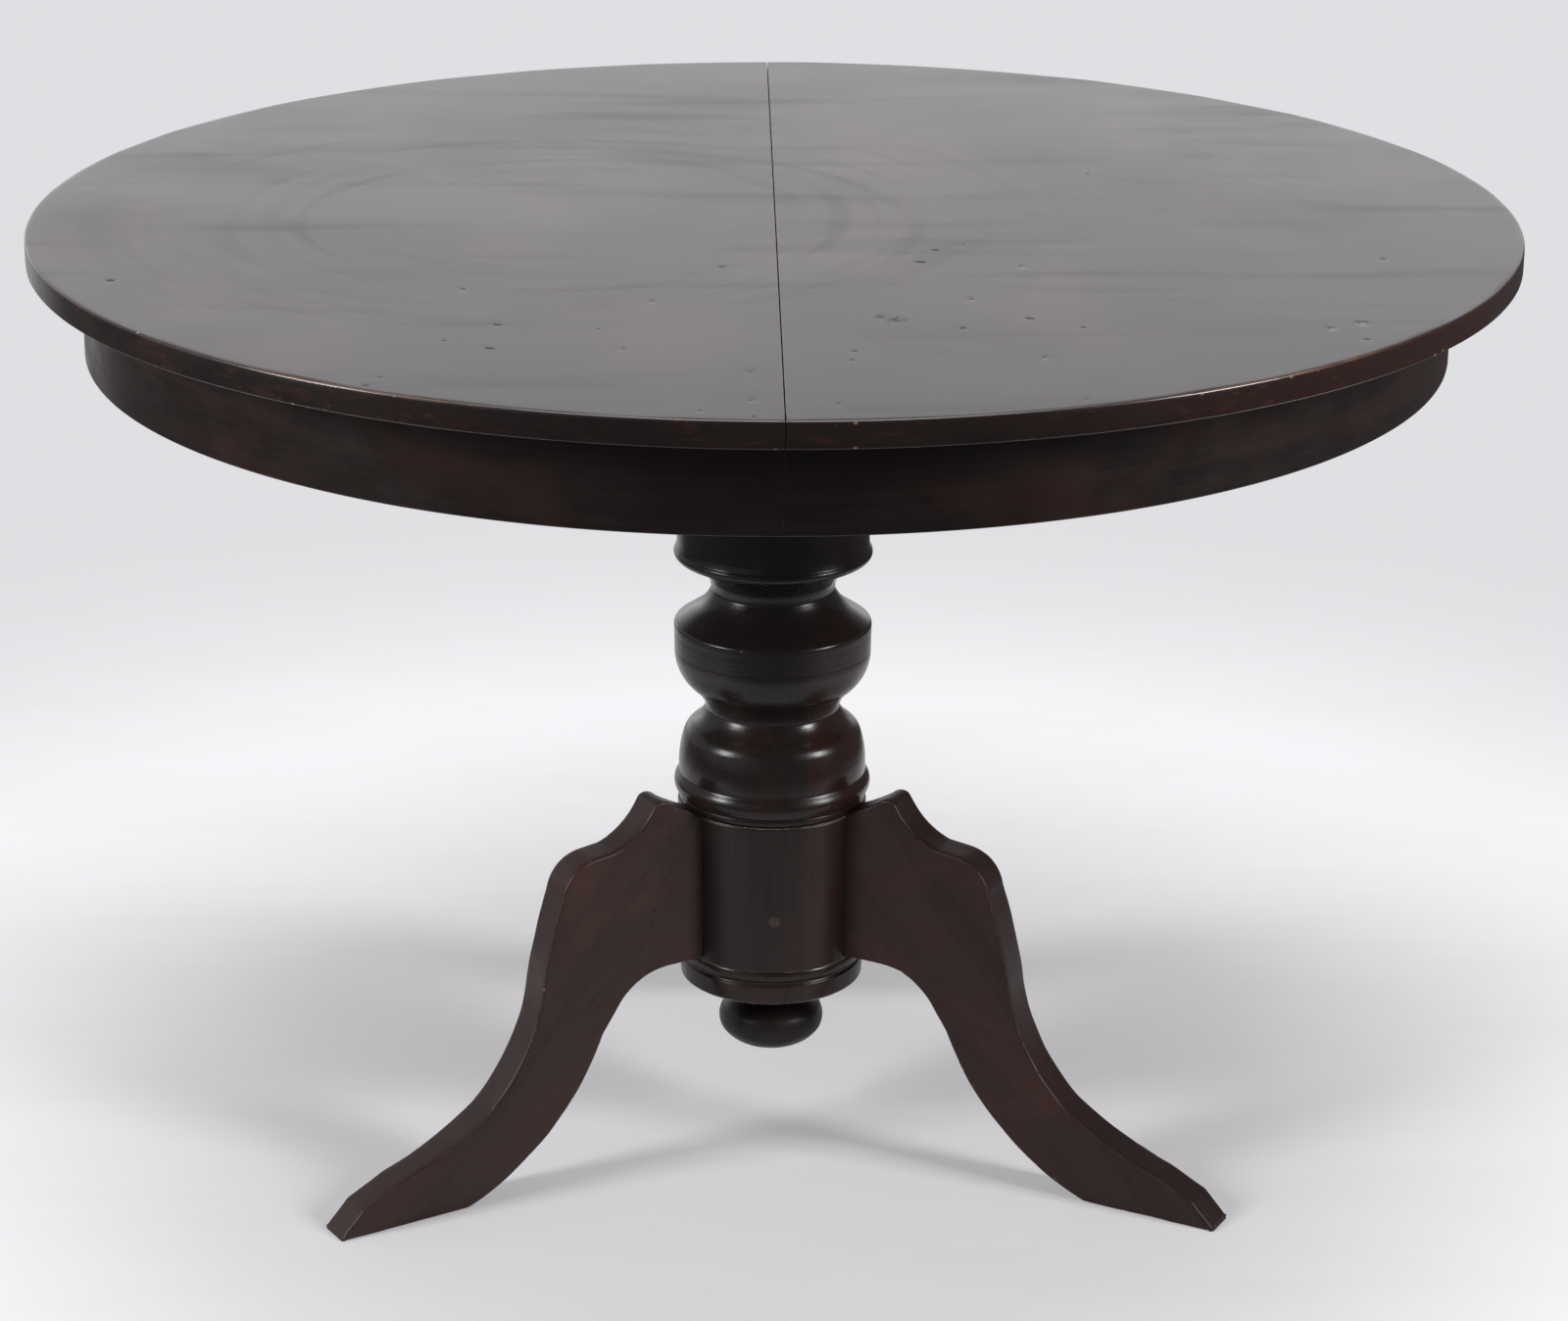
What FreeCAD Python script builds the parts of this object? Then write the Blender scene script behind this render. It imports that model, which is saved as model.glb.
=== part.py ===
import FreeCAD, Part
import math
import os
import re
import Sketcher

# Round pedestal dining table in two half leaves that slide apart on wooden slides.
# Frame: +Z up, origin on the floor under the column's axis, millimetres.
# The seam between the leaves runs along Y, the leaves slide along X, and one leg points to +Y.

SIZES = [
    ("table_height", 750, "floor to the table top"),
    ("top_radius", 555, "radius of the round top"),
    ("board_thickness", 19, "thickness of each leaf"),
    ("seam_gap", 0.5, "gap between the closed leaves"),
    ("board_arris", 1.2, "rounding of the leaves' outer edges"),
    ("apron_inset", 45, "apron's radius short of the radius of the top"),
    ("apron_shift", 5.5, "apron's centre to the left of the middle of the top"),
    ("apron_thickness", 19, "thickness of the bent apron"),
    ("apron_depth", 72, "height of the apron"),
    ("block_length", 40, "glue block along the apron"),
    ("block_width", 22, "glue block across the apron"),
    ("block_depth", 30, "glue block below the leaf"),
    ("travel", 230, "how far each leaf slides out"),
    ("slide_gap", 0.4, "running gap between pieces that slide"),
    ("fit_gap", 0.1, "gap round glued and screwed pieces"),
    ("bearer_spacing", 300, "between the centre lines of the two bearers"),
    ("bearer_width", 36, "width of a bearer"),
    ("bearer_height", 40, "height of a bearer"),
    ("bearer_drop", 6, "bearer's top below the leaves"),
    ("bearer_setback", 30, "bearer's end inside the runners' outer ends"),
    ("groove_depth", 8, "groove in a bearer's side"),
    ("groove_height", 12, "height of that groove"),
    ("groove_rise", 14, "groove above the bearer's underside"),
    ("runner_width", 26, "width of a runner"),
    ("runner_height", 42, "height of a runner"),
    ("runner_margin", 45.2, "runner's outer end inside the apron"),
    ("runner_reach", 160, "runner's inner end past the seam"),
    ("runner_relief", 2, "runner's clearance below the other leaf"),
    ("relief_start", 10, "where that clearance starts, before the seam"),
    ("groove_end", 29.6, "outer groove's closed end inside the bearer's end"),
    ("head_board_length", 240, "head board along the slides"),
    ("head_board_margin", 7, "head board and cross bars past the bearers"),
    ("head_board_thickness", 24, "thickness of head board and cross bars"),
    ("cross_bar_width", 45, "width of a cross bar"),
    ("cross_bar_margin", 25, "bearer's end past the cross bar"),
    ("column_radius", 77, "widest radius of the turned column"),
    ("turned_height", 211.2, "height of the column's mouldings"),
    ("head_tenon_radius", 30, "column's tenon in the head board"),
    ("foot_tenon_radius", 20, "column's tenon through the hub"),
    ("hub_radius", 74, "radius of the hub that carries the legs"),
    ("hub_drop", 21.2, "hub's top below the legs' highest point"),
    ("hub_height", 120.5, "height of the hub"),
    ("hub_chamfer", 1, "chamfer on the hub's ends"),
    ("ring_radius", 73, "widest radius of the turned base ring"),
    ("ring_height", 32.3, "height of the base ring"),
    ("tenon_rest", 2, "foot tenon's end above the base ring's underside"),
    ("finial_radius", 41.4, "widest radius of the finial"),
    ("finial_height", 55.7, "finial from its tip to the base ring"),
    ("finial_pin_radius", 8, "radius of the finial's pin"),
    ("finial_pin_length", 26, "length of the finial's pin"),
    ("leg_reach", 392, "toe from the column's axis"),
    ("leg_height", 302, "highest point of a leg"),
    ("leg_thickness", 29, "thickness of a leg"),
    ("leg_root", 22.2, "leg's outline drawn this far inside the hub, before its end is hollowed"),
    ("leg_root_drop", 12.4, "outline's upper inner corner below the hub's top"),
    ("leg_root_rise", 3, "outline's lower inner corner above the hub's underside"),
    ("dowel_radius", 6, "radius of a leg's dowels"),
    ("dowel_length", 60, "length of a leg's dowels"),
    ("dowel_bite", 24, "how far a dowel reaches into the hub"),
    ("dowel_inset", 27, "lower and upper dowels from the hub's ends"),
    ("leg_screw_drop", 17, "back leg's screw below the hub's middle"),
    ("leg_screw_step", 14, "height between the legs' screws"),
    ("leg_screw_radius", 3, "radius of a leg's screw"),
    ("leg_screw_bite", 51, "how far a leg's screw reaches into the leg"),
    ("leg_screw_head", 4.4, "head radius of a leg's screw"),
    ("leg_screw_head_height", 4, "head height of a leg's screw"),
    ("plug_radius", 4.7, "radius of the wooden plug over that screw"),
    ("plug_length", 8, "length of that plug"),
    ("screw_radius", 2.2, "radius of the wood screws"),
    ("screw_head", 4.4, "head radius of the wood screws"),
    ("screw_head_height", 3, "head height of the wood screws"),
    ("screw_length", 42, "length of the wood screws"),
    ("runner_screw_sink", 12, "screw head above a runner's underside"),
    ("runner_screw_inset", 40, "runner's end screws from its fixed ends"),
    ("bearer_screw_sink", 6, "screw head above the head board's underside"),
    ("head_screw_inset", 40, "head board's screws from its ends"),
    ("head_screw_circle", 50, "circle of the screws into the column"),
    ("head_screw_sink", 5, "screw head below the head board's top"),
    ("pin_radius", 4, "radius of the seam's pins"),
    ("pin_length", 32, "length of the seam's pins"),
    ("pin_reach", 12, "seam pin past the left leaf's edge"),
    ("pin_play", 0.4, "clearance round a seam pin"),
    ("pin_spacing", 430, "outer seam pins from the middle"),
    ("latch_spacing", 300, "latches from the middle"),
    ("latch_pivot", 30, "latch pivot from the seam"),
    ("striker_offset", 18, "striker pin from the seam"),
    ("plate_thickness", 2, "thickness of latch and striker plates"),
    ("plate_width", 36, "latch and striker plates along the seam"),
    ("latch_plate_length", 56, "latch plate across the seam's direction"),
    ("striker_plate_length", 40, "striker plate across the seam's direction"),
    ("plate_margin", 4, "plate edge from the seam"),
    ("latch_pin_radius", 3, "radius of latch pivot and striker pin"),
    ("latch_running_gap", 0.08, "running gap round the latch pivot"),
    ("latch_head_radius", 5.5, "head of the latch pivot"),
    ("latch_head_height", 2, "height of that head"),
    ("lever_gap", 0.3, "lever's gap above and below"),
    ("lever_thickness", 3, "thickness of the latch lever"),
    ("lever_width", 18, "width of the latch lever"),
    ("lever_length", 62, "latch lever past its pivot"),
    ("lever_heel", 10, "latch lever behind its pivot"),
    ("notch_width", 9.6, "notch that takes the striker pin"),
    ("notch_play", 1, "notch past the striker pin"),
    ("tab_length", 4, "finger tab along the lever"),
    ("tab_drop", 11, "finger tab below the lever"),
    ("small_screw_radius", 1.6, "radius of the plates' screws"),
    ("small_screw_head", 3, "head radius of the plates' screws"),
    ("small_screw_head_height", 1.6, "head height of the plates' screws"),
    ("small_screw_length", 12, "length of the plates' screws"),
    ("small_screw_inset", 7, "plates' screws from the plates' edges"),
    ("overrun", 5, "how far a cutting solid runs past a face"),
]
ALIASES = {alias for alias, value, meaning in SIZES}

# Outlines as shares of the sizes that they follow: (radius, height), after "line" or "arc" through a point
COLUMN_SHARES = [
    ("line", (0.930, 0.000)),
    ("line", (0.940, 0.004)),
    ("arc", (0.950, 0.014), (0.948, 0.026)),
    ("line", (0.942, 0.029)),
    ("line", (0.962, 0.034)),
    ("arc", (1.000, 0.066), (0.968, 0.103)),
    ("line", (0.949, 0.114)),
    ("arc", (0.947, 0.1765), (0.911, 0.2467)),
    ("arc", (0.880, 0.2752), (0.811, 0.2996)),
    ("arc", (0.724, 0.3322), (0.675, 0.3627)),
    ("arc", (0.706, 0.3943), (0.800, 0.4391)),
    ("arc", (0.926, 0.4910), (0.993, 0.5877)),
    ("line", (0.998, 0.6854)),
    ("line", (0.995, 0.6926)),
    ("line", (0.800, 0.7394)),
    ("arc", (0.690, 0.7770), (0.624, 0.8178)),
    ("arc", (0.633, 0.8442), (0.650, 0.8625)),
    ("arc", (0.730, 0.8962), (0.896, 0.9288)),
    ("line", (0.961, 0.9399)),
    ("arc", (0.997, 0.9532), (0.982, 0.9766)),
    ("line", (0.968, 1.000)),
]
RING_SHARES = [
    ("line", (0.822, 0.000)),
    ("arc", (0.930, 0.080), (0.985, 0.170)),
    ("line", (0.992, 0.450)),
    ("line", (0.985, 0.655)),
    ("line", (0.955, 0.675)),
    ("arc", (1.000, 0.840), (0.972, 1.000)),
]
FINIAL_SHARES = [
    ("line", (0.200, 0.000)),
    ("arc", (0.740, 0.075), (0.953, 0.228)),
    ("arc", (1.000, 0.379), (0.939, 0.540)),
    ("arc", (0.819, 0.620), (0.583, 0.695)),
    ("arc", (0.560, 0.850), (0.590, 1.000)),
]
LEG_TOP_SHARES = [
    ("line", (0.2551, 0.9850)),
    ("arc", (0.2730, 0.9980), (0.2908, 0.9917)),
    ("arc", (0.3265, 0.9305), (0.3827, 0.8874)),
    ("line", (0.4286, 0.8808)),
    ("arc", (0.4700, 0.8576), (0.5006, 0.7881)),
    ("arc", (0.5262, 0.6821), (0.5455, 0.5695)),
    ("arc", (0.5905, 0.3874), (0.6741, 0.2483)),
    ("arc", (0.7795, 0.1672), (0.8752, 0.1175)),
    ("line", (0.9518, 0.0695)),
    ("line", (0.9962, 0.0110)),
    ("line", (1.0000, 0.0000)),
]
LEG_UNDERSIDE_SHARES = [
    ("line", (0.7219, 0.0000)),
    ("arc", (0.5279, 0.1656), (0.4135, 0.3907)),
    ("line", (0.3857, 0.4437)),
    ("arc", (0.3393, 0.5083), (0.2653, 0.5381)),
]
BLOCK_TURNS = (-68, -34, 0, 34, 68)
LEG_TURNS = {"leg_left": 211.2, "leg_right": 331.2, "leg_back": 91.2}

UP = FreeCAD.Rotation(0, 0, 0)
DOWN = FreeCAD.Rotation(FreeCAD.Vector(1, 0, 0), 180)
ALONG_X = FreeCAD.Rotation(FreeCAD.Vector(0, 1, 0), 90)
HALF_TURN = FreeCAD.Rotation(FreeCAD.Vector(0, 0, 1), 180)

doc = FreeCAD.newDocument("pedestal_table")
sheet = doc.addObject("Spreadsheet::Sheet", "Sizes")
for row, (alias, value, meaning) in enumerate(SIZES, 1):
    sheet.set(f"A{row}", meaning)
    sheet.set(f"B{row}", str(value))
    sheet.setAlias(f"B{row}", alias)
doc.recompute()

nodes = []


# Helpers for formulas, placing and naming
def formula(text):
    def name(word):
        return "Sizes." + word.group() if word.group() in ALIASES else word.group()
    return re.sub(r"[a-z][a-z_]*", name, str(text))


def number(text):
    found = sheet.evalExpression(formula(text))
    return float(getattr(found, "Value", found))


def bind(item, prop, text):
    item.setExpression(prop, formula(text))


def place(item, at, rotation=UP):
    item.Placement = FreeCAD.Placement(FreeCAD.Vector(*[number(part) for part in at]), rotation)
    for axis, part in zip("xyz", at):
        bind(item, f".Placement.Base.{axis}", part)


def node(item, label):
    item.Label = label
    nodes.append(item)
    return item


def radial(turn):
    return FreeCAD.Rotation(FreeCAD.Vector(0, 0, 1), turn) * ALONG_X


def polar(radius, turn):
    angle = math.radians(turn)
    return f"({radius}) * {math.cos(angle):.9f}", f"({radius}) * {math.sin(angle):.9f}"


# Primitives, booleans and groups
def box(name, low, high):
    item = doc.addObject("Part::Box", name)
    for prop, start, end in zip(("Length", "Width", "Height"), low, high):
        bind(item, prop, f"({end}) - ({start})")
    place(item, low)
    return item


def rod(name, radius, length, at, rotation=UP):
    item = doc.addObject("Part::Cylinder", name)
    bind(item, "Radius", radius)
    bind(item, "Height", length)
    place(item, at, rotation)
    return item


def fuse(name, items):
    item = doc.addObject("Part::MultiFuse", name)
    item.Shapes = items
    return item


def cut(name, base, tools):
    item = doc.addObject("Part::Cut", name)
    item.Base = base
    item.Tool = tools[0] if len(tools) == 1 else fuse(name + "_tools", tools)
    return item


def common(name, first, second):
    item = doc.addObject("Part::Common", name)
    item.Base = first
    item.Tool = second
    return item


def group(name, items):
    item = doc.addObject("Part::Compound", name)
    item.Links = items
    return item


# A screw's head sits at its own start, and the shank runs on along the screw's direction
def screw(name, at, rotation, sizes):
    shank = rod(name + "_shank", sizes["radius"], sizes["length"], at, rotation)
    head = rod(name + "_head", sizes["head"], sizes["head_height"], at, rotation)
    return fuse(name, [shank, head])


def screw_hole(name, at, rotation, sizes, sink):
    shank = rod(name + "_shank", f"{sizes['radius']} + fit_gap", f"{sizes['length']} + fit_gap", at, rotation)
    reach = rotation.multVec(FreeCAD.Vector(0, 0, 1))
    start = [f"({part}) - ({sink}) * {step:.9f}" for part, step in zip(at, reach)]
    depth = f"({sink}) + {sizes['head_height']} + fit_gap"
    head = rod(name + "_head", f"{sizes['head']} + fit_gap", depth, start, rotation)
    return fuse(name, [shank, head])


WOOD_SCREW = {"radius": "screw_radius", "length": "screw_length",
              "head": "screw_head", "head_height": "screw_head_height"}
SMALL_SCREW = {"radius": "small_screw_radius", "length": "small_screw_length",
               "head": "small_screw_head", "head_height": "small_screw_head_height"}
LEG_SCREW_LENGTH = "(2 * hub_radius - plug_length + leg_screw_bite)"
LEG_SCREW = {"radius": "leg_screw_radius", "length": LEG_SCREW_LENGTH,
             "head": "leg_screw_head", "head_height": "leg_screw_head_height"}


# Sketches on a body's own origin planes, with every corner bound to the sheet
def new_body(name):
    return doc.addObject("PartDesign::Body", name)


def new_sketch(body, name, role, lift="0"):
    item = body.newObject("Sketcher::SketchObject", name)
    planes = [plane for plane in body.Origin.OriginFeatures if plane.Role == role]
    item.AttachmentSupport = [(planes[0], "")]
    item.MapMode = "FlatFace"
    item.AttachmentOffset = FreeCAD.Placement(FreeCAD.Vector(0, 0, number(lift)), UP)
    bind(item, ".AttachmentOffset.Base.z", lift)
    return item


def fix(item, edge, end, corner):
    for kind, text, axis in (("DistanceX", corner[0], -2), ("DistanceY", corner[1], -1)):
        if abs(number(text)) < 1e-9:
            item.addConstraint(Sketcher.Constraint("PointOnObject", edge, end, axis))
        else:
            index = item.addConstraint(Sketcher.Constraint(kind, -1, 1, edge, end, number(text)))
            bind(item, f"Constraints[{index}]", text)


def outline(item, corners):
    """Draw a closed outline; a corner is ("line", end) or ("arc", middle, end), and ends are formula pairs."""
    spots = [FreeCAD.Vector(number(end[-1][0]), number(end[-1][1]), 0) for end in corners]
    flipped = []
    for index, corner in enumerate(corners):
        start, end = spots[index - 1], spots[index]
        flipped.append(False)
        if corner[0] == "line":
            item.addGeometry(Part.LineSegment(start, end), False)
            continue
        middle = FreeCAD.Vector(number(corner[1][0]), number(corner[1][1]), 0)
        if (middle - start).cross(end - middle).z < 0:
            flipped[-1] = True
            start, end = end, start
        item.addGeometry(Part.Arc(start, middle, end), False)
    for index, corner in enumerate(corners):
        after = (index + 1) % len(corners)
        end = 1 if flipped[index] else 2
        next_start = 2 if flipped[after] else 1
        item.addConstraint(Sketcher.Constraint("Coincident", index, end, after, next_start))
        fix(item, index, end, corner[-1])
    for index, corner in enumerate(corners):
        if corner[0] == "arc":
            middle = FreeCAD.Vector(number(corner[1][0]), number(corner[1][1]), 0)
            point = item.addGeometry(Part.Point(middle), True)
            fix(item, point, 1, corner[1])
            item.addConstraint(Sketcher.Constraint("PointOnObject", point, 1, index))


def scaled(shares, wide, base, high):
    """Turn an outline's shares into formulas: wide times the radius share, base plus high times the other."""
    def spot(pair):
        return f"{wide} * {pair[0]}", f"{base} + {high} * {pair[1]}"
    return [(step[0], *[spot(pair) for pair in step[1:]]) for step in shares]


def line(radius, height):
    return ("line", (radius, height))


def pad(body, sketch, name, length):
    item = body.newObject("PartDesign::Pad", name)
    item.Profile = sketch
    bind(item, "Length", length)
    return item


def turned(name, corners):
    """A body turned about Z from an outline of (radius, height) corners."""
    body = new_body(name)
    profile = new_sketch(body, name + "_profile", "XZ_Plane")
    outline(profile, corners)
    item = body.newObject("PartDesign::Revolution", name + "_turning")
    item.Profile = profile
    item.ReferenceAxis = (profile, ["V_Axis"])
    item.Angle = 360
    doc.recompute()
    return body


def soften(body, name, size, keep):
    """Round the edges of the body's last shape that keep() picks."""
    doc.recompute()
    edges = [f"Edge{index}" for index, edge in enumerate(body.Shape.Edges, 1) if keep(edge)]
    base = body.Tip
    item = body.newObject("PartDesign::Fillet", name)
    item.Base = (base, edges)
    bind(item, "Radius", size)
    doc.recompute()
    return item


# Heights and places that several pieces share
LEAF_UNDERSIDE = "(table_height - board_thickness)"
BEARER_TOP = f"({LEAF_UNDERSIDE} - bearer_drop)"
BEARER_FOOT = f"({BEARER_TOP} - bearer_height)"
HEAD_FOOT = f"({BEARER_FOOT} - head_board_thickness)"
RUNNER_FOOT = f"({LEAF_UNDERSIDE} - runner_height)"
GROOVE_FOOT = f"({BEARER_FOOT} + groove_rise)"
BEARER_Y = "(bearer_spacing / 2)"
HEAD_HALF_WIDTH = f"({BEARER_Y} + bearer_width / 2 + head_board_margin)"
APRON_RADIUS = "(top_radius - apron_inset)"
APRON_BORE = f"({APRON_RADIUS} - apron_thickness)"
EDGE = "(seam_gap / 2)"
TURNED_FOOT = "(leg_height - hub_drop)"
HUB_FOOT = f"({TURNED_FOOT} - hub_height)"
RING_FOOT = f"({HUB_FOOT} - ring_height)"
FINIAL_FOOT = f"({RING_FOOT} - finial_height)"
RUNNER_FAR = f"({BEARER_Y} + bearer_width / 2 + slide_gap + runner_width)"
RUNNER_LENGTH = f"(sqrt({APRON_BORE} ^ 2 - {RUNNER_FAR} ^ 2) - apron_shift - runner_margin)"
BEARER_REACH = f"({RUNNER_LENGTH} - bearer_setback)"
CROSS_BAR_X = f"({BEARER_REACH} - cross_bar_margin - cross_bar_width / 2)"
HEAD_SCREW_X = "(head_board_length / 2 - head_screw_inset)"
BOARD_MIDDLE = f"({LEAF_UNDERSIDE} + board_thickness / 2)"
GROOVE_OUT = f"({BEARER_REACH} - groove_end)"
TONGUE_LENGTH = f"({GROOVE_OUT} - slide_gap - travel + runner_reach)"
DOWEL_LEVELS = {"low": f"{HUB_FOOT} + dowel_inset", "high": f"{TURNED_FOOT} - dowel_inset"}
LEG_SCREW_LEVEL = f"({HUB_FOOT} + hub_height / 2 - leg_screw_drop)"


# Top: each half leaf is a half-round board, its edge along the seam
def half_disc(body, name, radius, lift):
    item = new_sketch(body, name, "XY_Plane", lift)
    far = f"sqrt(({radius}) ^ 2 - {EDGE} ^ 2)"
    outline(item, [
        ("arc", (f"-({radius})", "0"), (f"-{EDGE}", f"-{far}")),
        line(f"-{EDGE}", far),
    ])
    return item


def leaf(side, turn, pin_hole_radius, pin_hole_depth, screw_spots, plate_spots):
    body = new_body(f"{side}_board")
    board = half_disc(body, f"{side}_outline", "top_radius", LEAF_UNDERSIDE)
    pad(body, board, f"{side}_pad", "board_thickness")
    soften(body, f"{side}_edge", "board_arris", lambda edge: edge.Length > number("2 * top_radius + overrun"))
    body.Placement = FreeCAD.Placement(FreeCAD.Vector(0, 0, 0), turn)
    way = turn.multVec(FreeCAD.Vector(-1, 0, 0)).x
    tools = []
    for index, spot in enumerate(("-pin_spacing", "0", "pin_spacing")):
        direction = ALONG_X if way > 0 else ALONG_X * DOWN
        at = (f"{way:.0f} * ({EDGE} - overrun)", spot, BOARD_MIDDLE)
        deep = f"{pin_hole_depth} + overrun"
        tools.append(rod(f"{side}_pin_hole_{index}", pin_hole_radius, deep, at, direction))
    for index, at in enumerate(screw_spots):
        tools.append(rod(f"{side}_pilot_{index}", "screw_radius + fit_gap", "screw_length + fit_gap",
                         at, UP))
    for index, at in enumerate(plate_spots):
        tools.append(rod(f"{side}_plate_pilot_{index}", "small_screw_radius + fit_gap",
                         "small_screw_length + fit_gap", at, UP))
    return node(cut(f"leaf_{side}", body, tools), f"leaf_{side}")


def apron(side, turn):
    """A half ring whose centre lies apron_shift to the left of the middle."""
    body = new_body(f"apron_{side}")
    profile = new_sketch(body, f"apron_{side}_outline", "XY_Plane", f"{LEAF_UNDERSIDE} - apron_depth")
    shift = "apron_shift" if side == "left" else "-apron_shift"
    outer_far = f"sqrt({APRON_RADIUS} ^ 2 - ({EDGE} - {shift}) ^ 2)"
    inner_far = f"sqrt({APRON_BORE} ^ 2 - ({EDGE} - {shift}) ^ 2)"
    outline(profile, [
        ("arc", (f"-({APRON_RADIUS} + {shift})", "0"), (f"-{EDGE}", f"-{outer_far}")),
        line(f"-{EDGE}", f"-{inner_far}"),
        ("arc", (f"-({APRON_BORE} + {shift})", "0"), (f"-{EDGE}", inner_far)),
        line(f"-{EDGE}", outer_far),
    ])
    pad(body, profile, f"apron_{side}_pad", "apron_depth")
    low = number(f"{LEAF_UNDERSIDE} - apron_depth")

    def lower_arcs(edge):
        return edge.Length > number(APRON_BORE) and abs(edge.BoundBox.ZMax - low) < number("fit_gap")
    soften(body, f"apron_{side}_edge", "board_arris", lower_arcs)
    body.Placement = FreeCAD.Placement(FreeCAD.Vector(0, 0, 0), turn)
    return node(body, f"apron_{side}")


def glue_blocks(side, turn):
    blocks = []
    for index, angle in enumerate(BLOCK_TURNS):
        name = f"{side}_block_{index}"
        block = box(name + "_blank", (f"{APRON_BORE} - block_width", "-block_length / 2", "0"),
                    (f"{APRON_BORE} + overrun", "block_length / 2", "block_depth"))
        curve = rod(name + "_curve", f"{APRON_BORE} - fit_gap", "block_depth", ("0", "0", "0"))
        fitted = common(name, block, curve)
        way = turn * FreeCAD.Rotation(FreeCAD.Vector(0, 0, 1), 180 + angle)
        place(fitted, ("-apron_shift", "0", f"{LEAF_UNDERSIDE} - block_depth"), way)
        blocks.append(fitted)
    return node(group(f"glue_blocks_{side}", blocks), f"glue_blocks_{side}")


# Slides: grooved bearers fixed to the pedestal, tongued runners under each leaf
def bearer(name, way, screws):
    low = f"({way} * {BEARER_Y} - bearer_width / 2)"
    high = f"({way} * {BEARER_Y} + bearer_width / 2)"
    blank = box(name + "_blank", (f"-{BEARER_REACH}", low, BEARER_FOOT), (BEARER_REACH, high, BEARER_TOP))
    sides = {
        1: (f"{high} - groove_depth", f"{high} + overrun"),
        -1: (f"{low} - overrun", f"{low} + groove_depth"),
    }
    tools = []
    for which in (1, -1):
        start, end = sides[way * which]
        near, far = f"-{GROOVE_OUT}", "runner_reach + slide_gap"
        if which < 0:
            near, far = f"-({far})", GROOVE_OUT
        tools.append(box(f"{name}_groove_{which % 3}", (near, start, GROOVE_FOOT),
                         (far, end, f"{GROOVE_FOOT} + groove_height")))
    tools += [screw_hole(f"{name}_hole_{index}", at, UP, WOOD_SCREW, "overrun")
              for index, at in enumerate(screws)]
    return node(cut(name, blank, tools), name)


def runner_y(side, way):
    """The runner's face beside the bearer and its far face, as y at way 1 or -1."""
    out = way if side == "left" else -way
    near = f"{way} * {BEARER_Y} + {out} * (bearer_width / 2 + slide_gap)"
    far = f"{way} * {BEARER_Y} + {out} * (bearer_width / 2 + slide_gap + runner_width)"
    tip = f"{way} * {BEARER_Y} + {out} * (bearer_width / 2 + slide_gap - groove_depth)"
    return out, near, far, tip


def ordered(first, second):
    return (first, second) if number(first) < number(second) else (second, first)


def span(side, near, far):
    """An x range on the left side, or its mirror image on the right."""
    return (near, far) if side == "left" else (f"-({far})", f"-({near})")


def runner_screw_spots(side, way):
    out, near, far, tip = runner_y(side, way)
    middle = f"(({near}) + ({far})) / 2"
    sign = -1 if side == "left" else 1
    inner = "runner_screw_inset"
    outer = f"({RUNNER_LENGTH} - runner_screw_inset)"
    return [(f"{sign} * ({place_x})", middle, f"{RUNNER_FOOT} + runner_screw_sink")
            for place_x in (inner, f"({inner} + {outer}) / 2", outer)]


def runner(side, way, label):
    out, near, far, tip = runner_y(side, way)
    low, high = ordered(near, far)
    x_low, x_high = span(side, f"-{RUNNER_LENGTH}", "runner_reach")
    blank = box(label + "_blank", (x_low, low, RUNNER_FOOT), (x_high, high, LEAF_UNDERSIDE))
    low, high = ordered(tip, f"({near}) + {out} * overrun")
    x_low, x_high = span(side, f"runner_reach - {TONGUE_LENGTH}", "runner_reach")
    tongue = box(label + "_tongue", (x_low, low, f"{GROOVE_FOOT} + slide_gap"),
                 (x_high, high, f"{GROOVE_FOOT} + groove_height - slide_gap"))
    x_low, x_high = span(side, "-relief_start", "runner_reach + overrun")
    low, high = ordered(f"({near}) - {out} * overrun", f"({far}) + {out} * overrun")
    relief = box(label + "_relief", (x_low, low, f"{LEAF_UNDERSIDE} - runner_relief"),
                 (x_high, high, f"{LEAF_UNDERSIDE} + overrun"))
    holes = [screw_hole(f"{label}_hole_{index}", at, UP, WOOD_SCREW, "runner_screw_sink + overrun")
             for index, at in enumerate(runner_screw_spots(side, way))]
    whole = fuse(label + "_whole", [blank, tongue])
    return node(cut(label, whole, [relief] + holes), label)


# Pedestal head: the board on the column and the bars that keep the bearers parallel
def bearer_screw_spots(way):
    return [(f"{sign} * {place_x}", f"{way} * {BEARER_Y}", f"{HEAD_FOOT} + bearer_screw_sink")
            for place_x in (HEAD_SCREW_X, CROSS_BAR_X) for sign in (-1, 1)]


def head_screw_spots():
    spots = []
    for turn in (45, 135, 225, 315):
        x, y = polar("head_screw_circle", turn)
        spots.append((x, y, f"{BEARER_FOOT} - head_screw_sink"))
    return spots


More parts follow.
